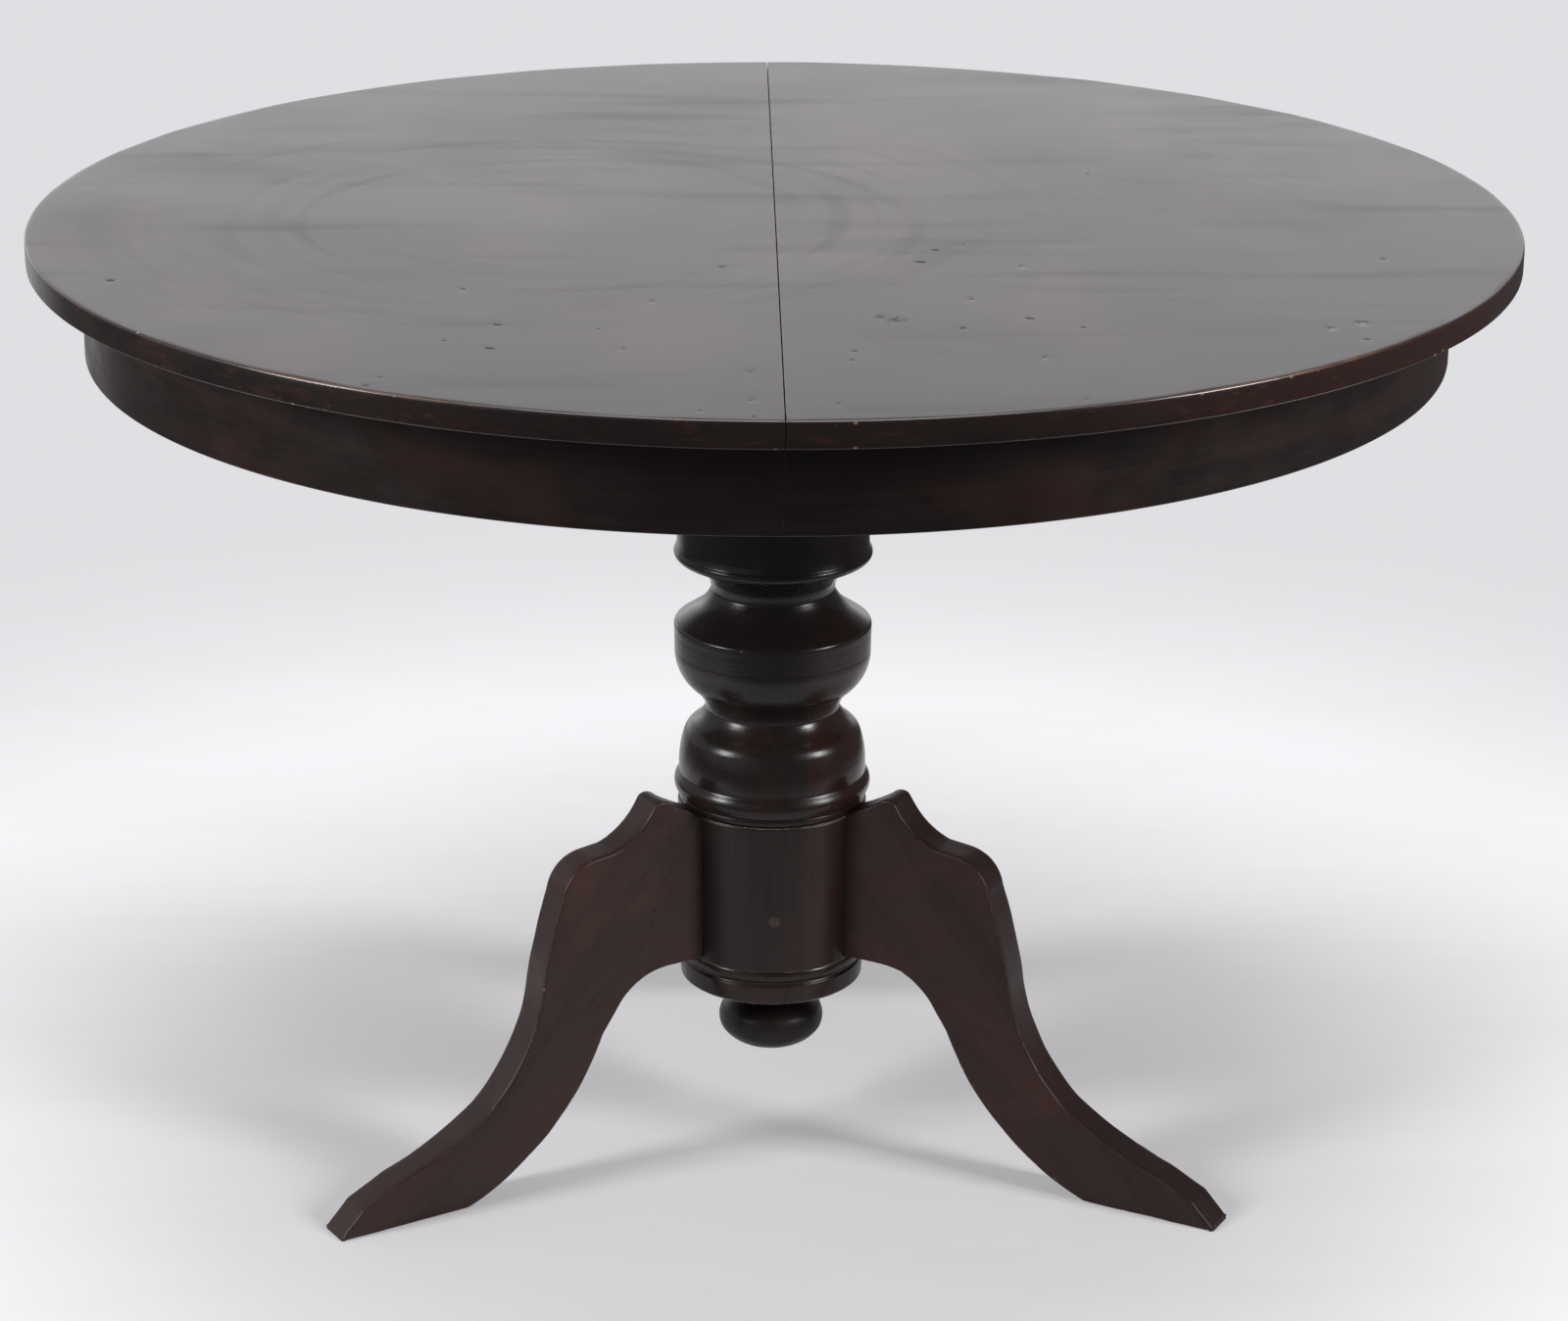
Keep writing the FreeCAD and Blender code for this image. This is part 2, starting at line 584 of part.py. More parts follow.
def head_board():
    half = "(head_board_length / 2)"
    blank = box("head_board_blank", (f"-{half}", f"-{HEAD_HALF_WIDTH}", HEAD_FOOT),
                (half, HEAD_HALF_WIDTH, BEARER_FOOT))
    tools = [rod("head_board_bore", "head_tenon_radius + fit_gap", "head_board_thickness + 2 * overrun",
                 ("0", "0", f"{HEAD_FOOT} - overrun"))]
    for index, at in enumerate(bearer_screw_spots(1)[:2] + bearer_screw_spots(-1)[:2]):
        tools.append(screw_hole(f"head_board_hole_{index}", at, UP, WOOD_SCREW, "bearer_screw_sink + overrun"))
    for index, at in enumerate(head_screw_spots()):
        tools.append(screw_hole(f"head_board_drop_{index}", at, DOWN, WOOD_SCREW, "head_screw_sink + overrun"))
    return node(cut("head_board", blank, tools), "head_board")


def cross_bar(label, sign):
    low = f"{sign} * {CROSS_BAR_X} - cross_bar_width / 2"
    high = f"{sign} * {CROSS_BAR_X} + cross_bar_width / 2"
    blank = box(label + "_blank", (low, f"-{HEAD_HALF_WIDTH}", HEAD_FOOT),
                (high, HEAD_HALF_WIDTH, BEARER_FOOT))
    index = 2 if sign < 0 else 3
    tools = [screw_hole(f"{label}_hole_{way % 3}", bearer_screw_spots(way)[index], UP, WOOD_SCREW,
                        "bearer_screw_sink + overrun") for way in (1, -1)]
    return node(cut(label, blank, tools), label)


# Pedestal: turned column, hub, base ring and finial
def leg_screw_spots():
    """Each leg's screw starts behind a plug on the hub's far side; the screws pass at three heights."""
    spots = {}
    for label, step in (("leg_left", 2), ("leg_right", 1), ("leg_back", 0)):
        turn = LEG_TURNS[label]
        x, y = polar("plug_length - hub_radius", turn)
        spots[label] = (x, y, f"{LEG_SCREW_LEVEL} + {step} * leg_screw_step")
    return spots


def leg_screw_holes(name):
    return [screw_hole(f"{name}_{label}", at, radial(LEG_TURNS[label]), LEG_SCREW, "0")
            for label, at in leg_screw_spots().items()]


def dowel_rods(name, gap, labels=tuple(LEG_TURNS)):
    rods = []
    for label in labels:
        turn = LEG_TURNS[label]
        for level, height in DOWEL_LEVELS.items():
            x, y = polar(f"hub_radius - dowel_bite - {gap}", turn)
            rods.append(rod(f"{name}_{label}_{level}", f"dowel_radius + {gap}", f"dowel_length + 2 * {gap}",
                            (x, y, height), radial(turn)))
    return rods


def column():
    tenon_foot = f"{RING_FOOT} + tenon_rest"
    corners = scaled(COLUMN_SHARES, "column_radius", TURNED_FOOT, "turned_height")
    head = corners[-1][-1][0]
    body = turned("column_turned", [
        line("0", tenon_foot),
        line("foot_tenon_radius", tenon_foot),
        line("foot_tenon_radius", TURNED_FOOT),
        *corners,
        line(head, HEAD_FOOT),
        line("head_tenon_radius", HEAD_FOOT),
        line("head_tenon_radius", BEARER_FOOT),
        line("0", BEARER_FOOT),
    ])
    tools = leg_screw_holes("column")
    tools.append(rod("column_pin_bore", "finial_pin_radius + fit_gap", "finial_pin_length + fit_gap + overrun",
                     ("0", "0", f"{RING_FOOT} - overrun")))
    tools += [screw_hole(f"column_drop_{index}", at, DOWN, WOOD_SCREW, "0")
              for index, at in enumerate(head_screw_spots())]
    return node(cut("column", body, tools), "column")


def hub():
    blank = rod("hub_blank", "hub_radius", "hub_height", ("0", "0", HUB_FOOT))
    eased = doc.addObject("Part::Chamfer", "hub_eased")
    eased.Base = blank
    doc.recompute()
    size = number("hub_chamfer")
    rims = [index for index, edge in enumerate(blank.Shape.Edges, 1) if len(edge.Vertexes) == 1]
    eased.Edges = [(index, size, size) for index in rims]
    tools = [rod("hub_bore", "foot_tenon_radius + fit_gap", "hub_height + 2 * overrun",
                 ("0", "0", f"{HUB_FOOT} - overrun"))]
    tools += leg_screw_holes("hub") + dowel_rods("hub_dowel_hole", "fit_gap")
    for label, at in leg_screw_spots().items():
        x, y = polar("-hub_radius - overrun", LEG_TURNS[label])
        tools.append(rod(f"hub_plug_hole_{label}", "plug_radius + fit_gap", "plug_length + overrun",
                         (x, y, at[2]), radial(LEG_TURNS[label])))
    return node(cut("hub", eased, tools), "hub")


def base_ring():
    corners = scaled(RING_SHARES, "ring_radius", RING_FOOT, "ring_height")
    bore = "(foot_tenon_radius + fit_gap)"
    return node(turned("base_ring", [line(bore, RING_FOOT), *corners, line(bore, HUB_FOOT)]), "base_ring")


def finial():
    corners = scaled(FINIAL_SHARES, "finial_radius", FINIAL_FOOT, "finial_height")
    top = f"{RING_FOOT} + finial_pin_length"
    return node(turned("finial", [
        line("0", FINIAL_FOOT),
        *corners,
        line("finial_pin_radius", RING_FOOT),
        line("finial_pin_radius", top),
        line("0", top),
    ]), "finial")


# Legs: flat boards sawn to a double curve, their inner ends hollowed to the hub
def leg(label):
    body = new_body(label + "_board")
    profile = new_sketch(body, label + "_outline", "XZ_Plane", "-leg_thickness / 2")
    root = "hub_radius - leg_root"
    outline(profile, [
        line(root, f"{TURNED_FOOT} - leg_root_drop"),
        *scaled(LEG_TOP_SHARES, "leg_reach", "0", "leg_height"),
        *scaled(LEG_UNDERSIDE_SHARES, "leg_reach", "0", "leg_height"),
        line(root, f"{HUB_FOOT} + leg_root_rise"),
    ])
    pad(body, profile, label + "_pad", "leg_thickness")
    turn = LEG_TURNS[label]
    facing = FreeCAD.Rotation(FreeCAD.Vector(0, 0, 1), turn)
    body.Placement = FreeCAD.Placement(FreeCAD.Vector(0, 0, 0), facing)
    tools = [rod(label + "_seat", "hub_radius + fit_gap", "leg_height + 2 * overrun", ("0", "0", "-overrun"))]
    tools.append(screw_hole(label + "_screw_hole", leg_screw_spots()[label], radial(turn), LEG_SCREW, "0"))
    tools += dowel_rods(label + "_dowel_hole", "fit_gap", [label])
    return node(cut(label, body, tools), label)


# Latches below the seam: a lever on the left leaf hooks a striker pin on the right leaf
def plate_screw_spots(way, length):
    """Two screws for the plate that starts plate_margin from the seam, as x from the seam."""
    height = f"{LEAF_UNDERSIDE} - plate_thickness - small_screw_head_height"
    far = f"(plate_margin + {length} - small_screw_inset)"
    across = "(plate_width / 2 - small_screw_inset)"
    return [(far, f"{way} * latch_spacing {sign} {across}", height) for sign in ("+", "-")]


def mirrored(spots, sign):
    return [(f"{sign} * {x}", y, z) for x, y, z in spots]


def both_ways(length):
    return plate_screw_spots(1, length) + plate_screw_spots(-1, length)


LATCH_SPOTS = mirrored(both_ways("latch_plate_length"), -1)
STRIKER_SPOTS = both_ways("striker_plate_length")
PIN_TOP = f"({LEAF_UNDERSIDE} - plate_thickness / 2)"
LEVER_TOP = f"({LEAF_UNDERSIDE} - plate_thickness - lever_gap)"
LEVER_FOOT = f"({LEVER_TOP} - lever_thickness)"


def plate(name, sign, way, length, pin_x, pin_drop, spots):
    low, high = ordered(f"{sign} * plate_margin", f"{sign} * (plate_margin + {length})")
    middle = f"{way} * latch_spacing"
    body = box(name + "_sheet", (low, f"{middle} - plate_width / 2", f"{LEAF_UNDERSIDE} - plate_thickness"),
               (high, f"{middle} + plate_width / 2", LEAF_UNDERSIDE))
    pin = rod(name + "_pin", "latch_pin_radius", pin_drop, (pin_x, middle, PIN_TOP), DOWN)
    below = f"{LEAF_UNDERSIDE} - plate_thickness - overrun"
    holes = [rod(f"{name}_hole_{index}", "small_screw_radius + fit_gap", "plate_thickness + 2 * overrun",
                 (x, y, below)) for index, (x, y, z) in enumerate(spots)]
    return cut(name + "_drilled", body, holes), pin


def latch_plates():
    plates = []
    drop = "plate_thickness / 2 + 2 * lever_gap + lever_thickness + latch_head_height"
    for way, spots in ((1, LATCH_SPOTS[:2]), (-1, LATCH_SPOTS[2:])):
        name = f"latch_plate_{way % 3}"
        sheet_part, pin = plate(name, -1, way, "latch_plate_length", "-latch_pivot", drop, spots)
        head = rod(name + "_head", "latch_head_radius", "latch_head_height",
                   ("-latch_pivot", f"{way} * latch_spacing", f"{LEVER_FOOT} - lever_gap"), DOWN)
        plates.append(fuse(name, [sheet_part, pin, head]))
    return node(group("latch_plates", plates), "latch_plates")


def strikers():
    plates = []
    drop = "plate_thickness / 2 + lever_gap + lever_thickness + lever_gap"
    for way, spots in ((1, STRIKER_SPOTS[:2]), (-1, STRIKER_SPOTS[2:])):
        name = f"striker_{way % 3}"
        sheet_part, pin = plate(name, 1, way, "striker_plate_length", "striker_offset", drop, spots)
        plates.append(fuse(name, [sheet_part, pin]))
    return node(group("strikers", plates), "strikers")


def latch_lever(label, way):
    """The lever lies along the seam at rest, and its notch faces the seam."""
    pin_distance = "(latch_pivot + striker_offset)"
    middle = f"{way} * latch_spacing"

    def bar(name, near, far, side_low, side_high, low, high):
        y_low, y_high = ordered(f"{middle} + {way} * ({near})", f"{middle} + {way} * ({far})")
        return box(f"{label}_{name}", (f"-latch_pivot + {side_low}", y_low, low),
                   (f"-latch_pivot + {side_high}", y_high, high))
    arm = bar("arm", "-lever_heel", "lever_length", "-lever_width / 2", "lever_width / 2",
              LEVER_FOOT, LEVER_TOP)
    tab = bar("tab", "lever_length - tab_length", "lever_length", "-lever_width / 2", "lever_width / 2",
              f"{LEVER_FOOT} - tab_drop", f"{LEVER_FOOT} + lever_thickness / 2")
    notch = bar("notch", f"{pin_distance} - notch_width / 2", f"{pin_distance} + notch_width / 2",
                "-latch_pin_radius - notch_play", "lever_width / 2 + overrun",
                f"{LEVER_FOOT} - overrun", f"{LEVER_TOP} + overrun")
    bore = rod(label + "_bore", "latch_pin_radius + latch_running_gap", "lever_thickness + 2 * overrun",
               ("-latch_pivot", middle, f"{LEVER_FOOT} - overrun"))
    return node(cut(label, fuse(label + "_whole", [arm, tab]), [notch, bore]), label)


# Building the pieces
bearer_screws = {way: bearer_screw_spots(way) for way in (1, -1)}
runner_spots = {side: runner_screw_spots(side, 1) + runner_screw_spots(side, -1) for side in ("left", "right")}

leaf("left", UP, "pin_radius + fit_gap", "pin_length - pin_reach", runner_spots["left"], LATCH_SPOTS)
leaf("right", HALF_TURN, "pin_radius + pin_play", "pin_reach + pin_play", runner_spots["right"],
     STRIKER_SPOTS)
for side, turn in (("left", UP), ("right", HALF_TURN)):
    apron(side, turn)
    glue_blocks(side, turn)
    for way, place_name in ((-1, "front"), (1, "back")):
        runner(side, way, f"runner_{side}_{place_name}")
    runner_screws = [screw(f"runner_screw_{side}_{index}", at, UP, WOOD_SCREW)
                     for index, at in enumerate(runner_spots[side])]
    node(group(f"runner_screws_{side}", runner_screws), f"runner_screws_{side}")
node(group("seam_pins", [rod(f"seam_pin_{index}", "pin_radius", "pin_length",
                             (f"pin_reach - {EDGE} - pin_length", spot, BOARD_MIDDLE), ALONG_X)
                         for index, spot in enumerate(("-pin_spacing", "0", "pin_spacing"))]), "seam_pins")

for way, place_name in ((-1, "front"), (1, "back")):
    bearer(f"bearer_{place_name}", way, bearer_screws[way])
head_board()
cross_bar("cross_bar_left", -1)
cross_bar("cross_bar_right", 1)
bearer_spots = bearer_screws[1] + bearer_screws[-1]
node(group("bearer_screws", [screw(f"bearer_screw_{index}", at, UP, WOOD_SCREW)
                             for index, at in enumerate(bearer_spots)]), "bearer_screws")
node(group("head_screws", [screw(f"head_screw_{index}", at, DOWN, WOOD_SCREW)
                           for index, at in enumerate(head_screw_spots())]), "head_screws")

column()
hub()
base_ring()
finial()
for label in LEG_TURNS:
    leg(label)
node(group("leg_dowels", dowel_rods("leg_dowel", "0")), "leg_dowels")
node(group("leg_screws", [screw(f"{label}_screw", at, radial(LEG_TURNS[label]), LEG_SCREW)
                          for label, at in leg_screw_spots().items()]), "leg_screws")
plugs = []
for label, at in leg_screw_spots().items():
    x, y = polar("fit_gap * 2 - hub_radius", LEG_TURNS[label])
    plugs.append(rod(f"{label}_plug", "plug_radius", "plug_length - 3 * fit_gap", (x, y, at[2]),
                     radial(LEG_TURNS[label])))
node(group("screw_plugs", plugs), "screw_plugs")

latch_plates()
strikers()
for way, place_name in ((-1, "front"), (1, "back")):
    latch_lever(f"latch_lever_{place_name}", way)
node(group("latch_screws", [screw(f"latch_screw_{index}", at, UP, SMALL_SCREW)
                            for index, at in enumerate(LATCH_SPOTS)]), "latch_screws")
node(group("striker_screws", [screw(f"striker_screw_{index}", at, UP, SMALL_SCREW)
                              for index, at in enumerate(STRIKER_SPOTS)]), "striker_screws")

# Checking and writing
doc.recompute()
for item in doc.Objects:
    if "Invalid" in item.State or "Error" in item.State:
        raise RuntimeError(f"{item.Label} did not build: {item.State}")
os.makedirs("parts", exist_ok=True)
for item in nodes:
    if item.Shape.isNull() or not item.Shape.isValid() or not item.Shape.Solids:
        raise RuntimeError(f"{item.Label} has no sound shape")
    item.Shape.exportStep(f"parts/{item.Label}.step")
    print(f"{item.Label}: {len(item.Shape.Solids)} solids, {item.Shape.Volume:.0f} mm3")
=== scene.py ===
import math

import bmesh
import bpy
from mathutils import Matrix, Vector, noise
from mathutils.geometry import delaunay_2d_cdt


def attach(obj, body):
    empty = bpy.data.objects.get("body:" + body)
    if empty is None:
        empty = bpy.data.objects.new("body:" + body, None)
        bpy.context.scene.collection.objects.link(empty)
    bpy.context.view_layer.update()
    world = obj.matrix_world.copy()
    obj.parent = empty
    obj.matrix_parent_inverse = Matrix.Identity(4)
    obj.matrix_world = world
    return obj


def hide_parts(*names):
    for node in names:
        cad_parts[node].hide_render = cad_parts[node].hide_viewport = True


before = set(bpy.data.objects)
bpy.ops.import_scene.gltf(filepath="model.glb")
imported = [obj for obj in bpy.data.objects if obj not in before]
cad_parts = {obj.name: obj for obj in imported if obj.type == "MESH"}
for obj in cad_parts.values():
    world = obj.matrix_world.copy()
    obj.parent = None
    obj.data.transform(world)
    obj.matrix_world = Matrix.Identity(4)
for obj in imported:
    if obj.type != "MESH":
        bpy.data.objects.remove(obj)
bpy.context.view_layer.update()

MM = 0.001

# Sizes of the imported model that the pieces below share, in millimetres
TOP_RADIUS = 554.9
TOP_HEIGHT = 750.0
LEAF_UNDERSIDE = 731.0
SEAM = 0.25
APRON_OUTER = 509.9
APRON_INNER = 491.0
APRON_SHIFT = 5.5
APRON_FOOT = 659.0
COLUMN_RADIUS = 76.9
TURNED_FOOT = 280.8
TURNED_HEIGHT = 211.2
HEAD_FOOT = 661.0
BEARER_FOOT = 685.0
HUB_RADIUS = 74.0
HUB_FOOT = 160.3
HUB_STRAIGHT = 116.5
HUB_END = ((60.0, 0.0), (72.8, 0.0), (73.6, 0.4), (74.0, 1.2))
BORE_RADIUS = 20.1
CORE_RADIUS = 20.0
HEAD_TENON_RADIUS = 30.0
RING_RADIUS = 72.9
RING_FOOT = 128.0
RING_HEIGHT = 32.3
FINIAL_RADIUS = 41.4
FINIAL_FOOT = 72.3
FINIAL_HEIGHT = 55.7
FINIAL_TENON_RADIUS = 8.0
FINIAL_TENON_TOP = 154.0
LEG_REACH = 391.9
LEG_HEIGHT = 302.0
LEG_HALF = 14.5
LEG_ROOT = 71.0
TOP_ARRIS = 1.7
TOP_LOWER_ARRIS = 1.3
APRON_ARRIS = 1.4
PIN_SPOTS = (-430.0, 0.0, 430.0)
PIN_HEIGHT = 740.5
PIN_HOLE = 4.4
PIN_HOLE_DEPTH = 12.4
PIN_HOLE_SIDES = 20
PLUG_RADIUS = 4.5
PLUG_HEIGHTS = {"leg_left": 231.55, "leg_right": 217.55, "leg_back": 203.55}

# Outlines as shares of those sizes: (radius, height) at a line's end, or an arc's middle and end
COLUMN_SHARES = [
    ("line", (0.930, 0.000)),
    ("line", (0.940, 0.004)),
    ("arc", (0.950, 0.014), (0.948, 0.026)),
    ("line", (0.942, 0.029)),
    ("line", (0.962, 0.034)),
    ("arc", (1.000, 0.066), (0.968, 0.103)),
    ("line", (0.949, 0.114)),
    ("arc", (0.947, 0.1765), (0.911, 0.2467)),
    ("arc", (0.880, 0.2752), (0.811, 0.2996)),
    ("arc", (0.724, 0.3322), (0.675, 0.3627)),
    ("arc", (0.706, 0.3943), (0.800, 0.4391)),
    ("arc", (0.926, 0.4910), (0.993, 0.5877)),
    ("line", (0.998, 0.6804)),
    ("arc", (0.994, 0.6895), (0.981, 0.6956)),
    ("line", (0.800, 0.7394)),
    ("arc", (0.690, 0.7770), (0.624, 0.8178)),
    ("arc", (0.633, 0.8442), (0.650, 0.8625)),
    ("arc", (0.730, 0.8962), (0.896, 0.9288)),
    ("line", (0.961, 0.9399)),
    ("arc", (0.997, 0.9532), (0.982, 0.9766)),
    ("line", (0.968, 1.000)),
]
RING_SHARES = [
    ("line", (0.822, 0.000)),
    ("arc", (0.930, 0.080), (0.985, 0.170)),
    ("line", (0.992, 0.450)),
    ("line", (0.987, 0.600)),
    ("arc", (0.968, 0.635), (0.962, 0.685)),
    ("arc", (0.996, 0.840), (0.968, 1.000)),
]
FINIAL_SHARES = [
    ("line", (0.200, 0.000)),
    ("arc", (0.740, 0.075), (0.953, 0.228)),
    ("arc", (1.000, 0.379), (0.939, 0.540)),
    ("arc", (0.819, 0.620), (0.583, 0.695)),
    ("arc", (0.560, 0.850), (0.590, 1.000)),
]
LEG_SHARES = [
    ("line", (0.2551, 0.9850)),
    ("arc", (0.2730, 0.9980), (0.2908, 0.9917)),
    ("arc", (0.3265, 0.9305), (0.3827, 0.8874)),
    ("line", (0.4286, 0.8808)),
    ("arc", (0.4700, 0.8576), (0.5006, 0.7881)),
    ("arc", (0.5262, 0.6821), (0.5455, 0.5695)),
    ("arc", (0.5905, 0.3874), (0.6741, 0.2483)),
    ("arc", (0.7795, 0.1672), (0.8752, 0.1175)),
    ("line", (0.9518, 0.0695)),
    ("line", (0.9962, 0.0110)),
    ("line", (1.0000, 0.0000)),
    ("line", (0.7219, 0.0000)),
    ("arc", (0.5279, 0.1656), (0.4135, 0.3907)),
    ("line", (0.3857, 0.4437)),
    ("arc", (0.3393, 0.5083), (0.2653, 0.5381)),
]
LEG_TURNS = {"leg_left": 211.2, "leg_right": 331.2, "leg_back": 91.2}

# Spacing of the points along turned and sawn outlines
TURNED_STEP = 0.8
LEG_STEP = 2.6

# Small dark dents in the top: x, y and radius
DENTS = [
    (-469, -208, 2.6), (-220, -231, 1.6), (-192, -325, 2.4), (-225, -366, 1.5), (-194, -385, 2.8),
    (-123, -336, 1.4), (-105, -386, 1.4), (-40, -166, 1.9), (-21, -443, 1.4), (-88, -262, 1.3),
    (-261, -456, 1.5), (-269, -475, 1.8), (-274, -477, 1.2), (-21, -508, 1.3), (-54, -532, 1.3),
    (-20, -545, 1.6), (102, -151, 2.9), (115, -116, 2.3), (136, -101, 1.2), (133, -256, 1.4),
    (170, -306, 2.4), (123, -332, 2.0), (205, -329, 1.9), (174, -163, 1.3), (48, -390, 1.7),
    (46, -412, 1.5), (173, -405, 1.3), (245, 125, 1.5), (436, -140, 1.6), (193, -504, 1.3),
    (393, -359, 1.8), (34, -516, 1.2),
]

# Short dark scratches in the top: x, y, half length, half width, direction in degrees and darkness
SCRATCHES = [
    (68, -302, 4.5, 1.0, -62, 0.6), (77, -311, 5.5, 1.0, -58, 0.6), (372, -331, 4, 0.8, 12, 0.3),
    (395, -315, 5, 0.8, 8, 0.3),
]

# Rings of points round a dent: share of its size, fall and darkness
DENT_RINGS = ((1.3, 0.0, 0.0), (0.95, 0.0, 1.0), (0.62, 0.06, 1.0), (0.25, 0.1, 1.0))

# Darker smudges in the polish: x, y, length, width and strength
SMUDGES = [
    (-430, 130, 90, 60, 0.45), (-505, -30, 45, 90, 0.5), (245, 480, 80, 26, 0.6),
    (330, 425, 60, 22, 0.4), (415, 30, 24, 14, 0.5), (408, -48, 22, 12, 0.4),
    (334, 190, 26, 14, 0.45), (-40, -60, 90, 22, 0.12), (290, -385, 130, 22, 0.18),
    (150, -345, 120, 14, 0.12), (-150, -300, 140, 18, 0.1), (-60, -215, 110, 12, 0.1),
]


# Procedural materials
class Graph:
    """The empty node tree of a new material or world, with short calls for the nodes used here."""

    def __init__(self, owner, output="ShaderNodeOutputMaterial"):
        self.owner = owner
        self.owner.use_nodes = True
        self.tree = self.owner.node_tree
        self.tree.nodes.clear()
        self.output = self.node(output)

    def node(self, kind, **fields):
        item = self.tree.nodes.new(kind)
        for key, value in fields.items():
            setattr(item, key, value)
        return item

    def feed(self, socket, value):
        if isinstance(value, bpy.types.NodeSocket):
            self.tree.links.new(value, socket)
        elif socket.type == "RGBA":
            socket.default_value = (*value, 1)
        else:
            socket.default_value = value

    def shader(self, **sockets):
        item = self.node("ShaderNodeBsdfPrincipled")
        for key, value in sockets.items():
            self.feed(item.inputs[key.replace("_", " ")], value)
        self.tree.links.new(item.outputs[0], self.output.inputs["Surface"])

    def attribute(self, name, output="Fac"):
        return self.node("ShaderNodeAttribute", attribute_name=name).outputs[output]

    def place(self, output="Object"):
        return self.node("ShaderNodeTexCoord").outputs[output]

    def parts(self, vector):
        item = self.node("ShaderNodeSeparateXYZ")
        self.feed(item.inputs[0], vector)
        return item.outputs

    def join(self, x, y, z):
        item = self.node("ShaderNodeCombineXYZ")
        for socket, value in zip(item.inputs, (x, y, z)):
            self.feed(socket, value)
        return item.outputs[0]

    def times(self, vector, scale):
        item = self.node("ShaderNodeVectorMath", operation="MULTIPLY")
        self.feed(item.inputs[0], vector)
        self.feed(item.inputs[1], scale)
        return item.outputs[0]

    def math(self, operation, first, second=0.0):
        item = self.node("ShaderNodeMath", operation=operation)
        self.feed(item.inputs[0], first)
        self.feed(item.inputs[1], second)
        return item.outputs[0]

    def add(self, first, second):
        return self.math("ADD", first, second)

    def mul(self, first, second):
        return self.math("MULTIPLY", first, second)

    def noise(self, at, scale=(1, 1, 1), detail=3.0, rough=0.55, warp=0.0):
        item = self.node("ShaderNodeTexNoise")
        self.feed(item.inputs["Vector"], self.times(at, scale))
        settings = {"Scale": 1.0, "Detail": detail, "Roughness": rough, "Distortion": warp}
        for key, value in settings.items():
            item.inputs[key].default_value = value
        return item.outputs["Fac"]

    def spots(self, at, scale, reach, share):
        item = self.node("ShaderNodeTexVoronoi")
        self.feed(item.inputs["Vector"], self.times(at, scale))
        item.inputs["Scale"].default_value = 1.0
        near = self.span(item.outputs["Distance"], reach, reach * 0.6)
        chosen = self.math("LESS_THAN", self.parts(item.outputs["Color"])[0], share)
        return self.mul(near, chosen)

    def span(self, value, low, high, start=0.0, end=1.0):
        item = self.node("ShaderNodeMapRange", interpolation_type="SMOOTHSTEP")
        for socket, setting in zip(item.inputs, (value, low, high, start, end)):
            self.feed(socket, setting)
        return item.outputs[0]

    def mix(self, factor, first, second):
        item = self.node("ShaderNodeMix", data_type="RGBA")
        self.feed(item.inputs[0], factor)
        self.feed(item.inputs[6], first)
        self.feed(item.inputs[7], second)
        return item.outputs[2]

    def bump(self, height, distance, strength=1.0, under=None):
        item = self.node("ShaderNodeBump")
        self.feed(item.inputs["Height"], height)
        item.inputs["Distance"].default_value = distance
        item.inputs["Strength"].default_value = strength
        if under is not None:
            self.feed(item.inputs["Normal"], under)
        return item.outputs[0]


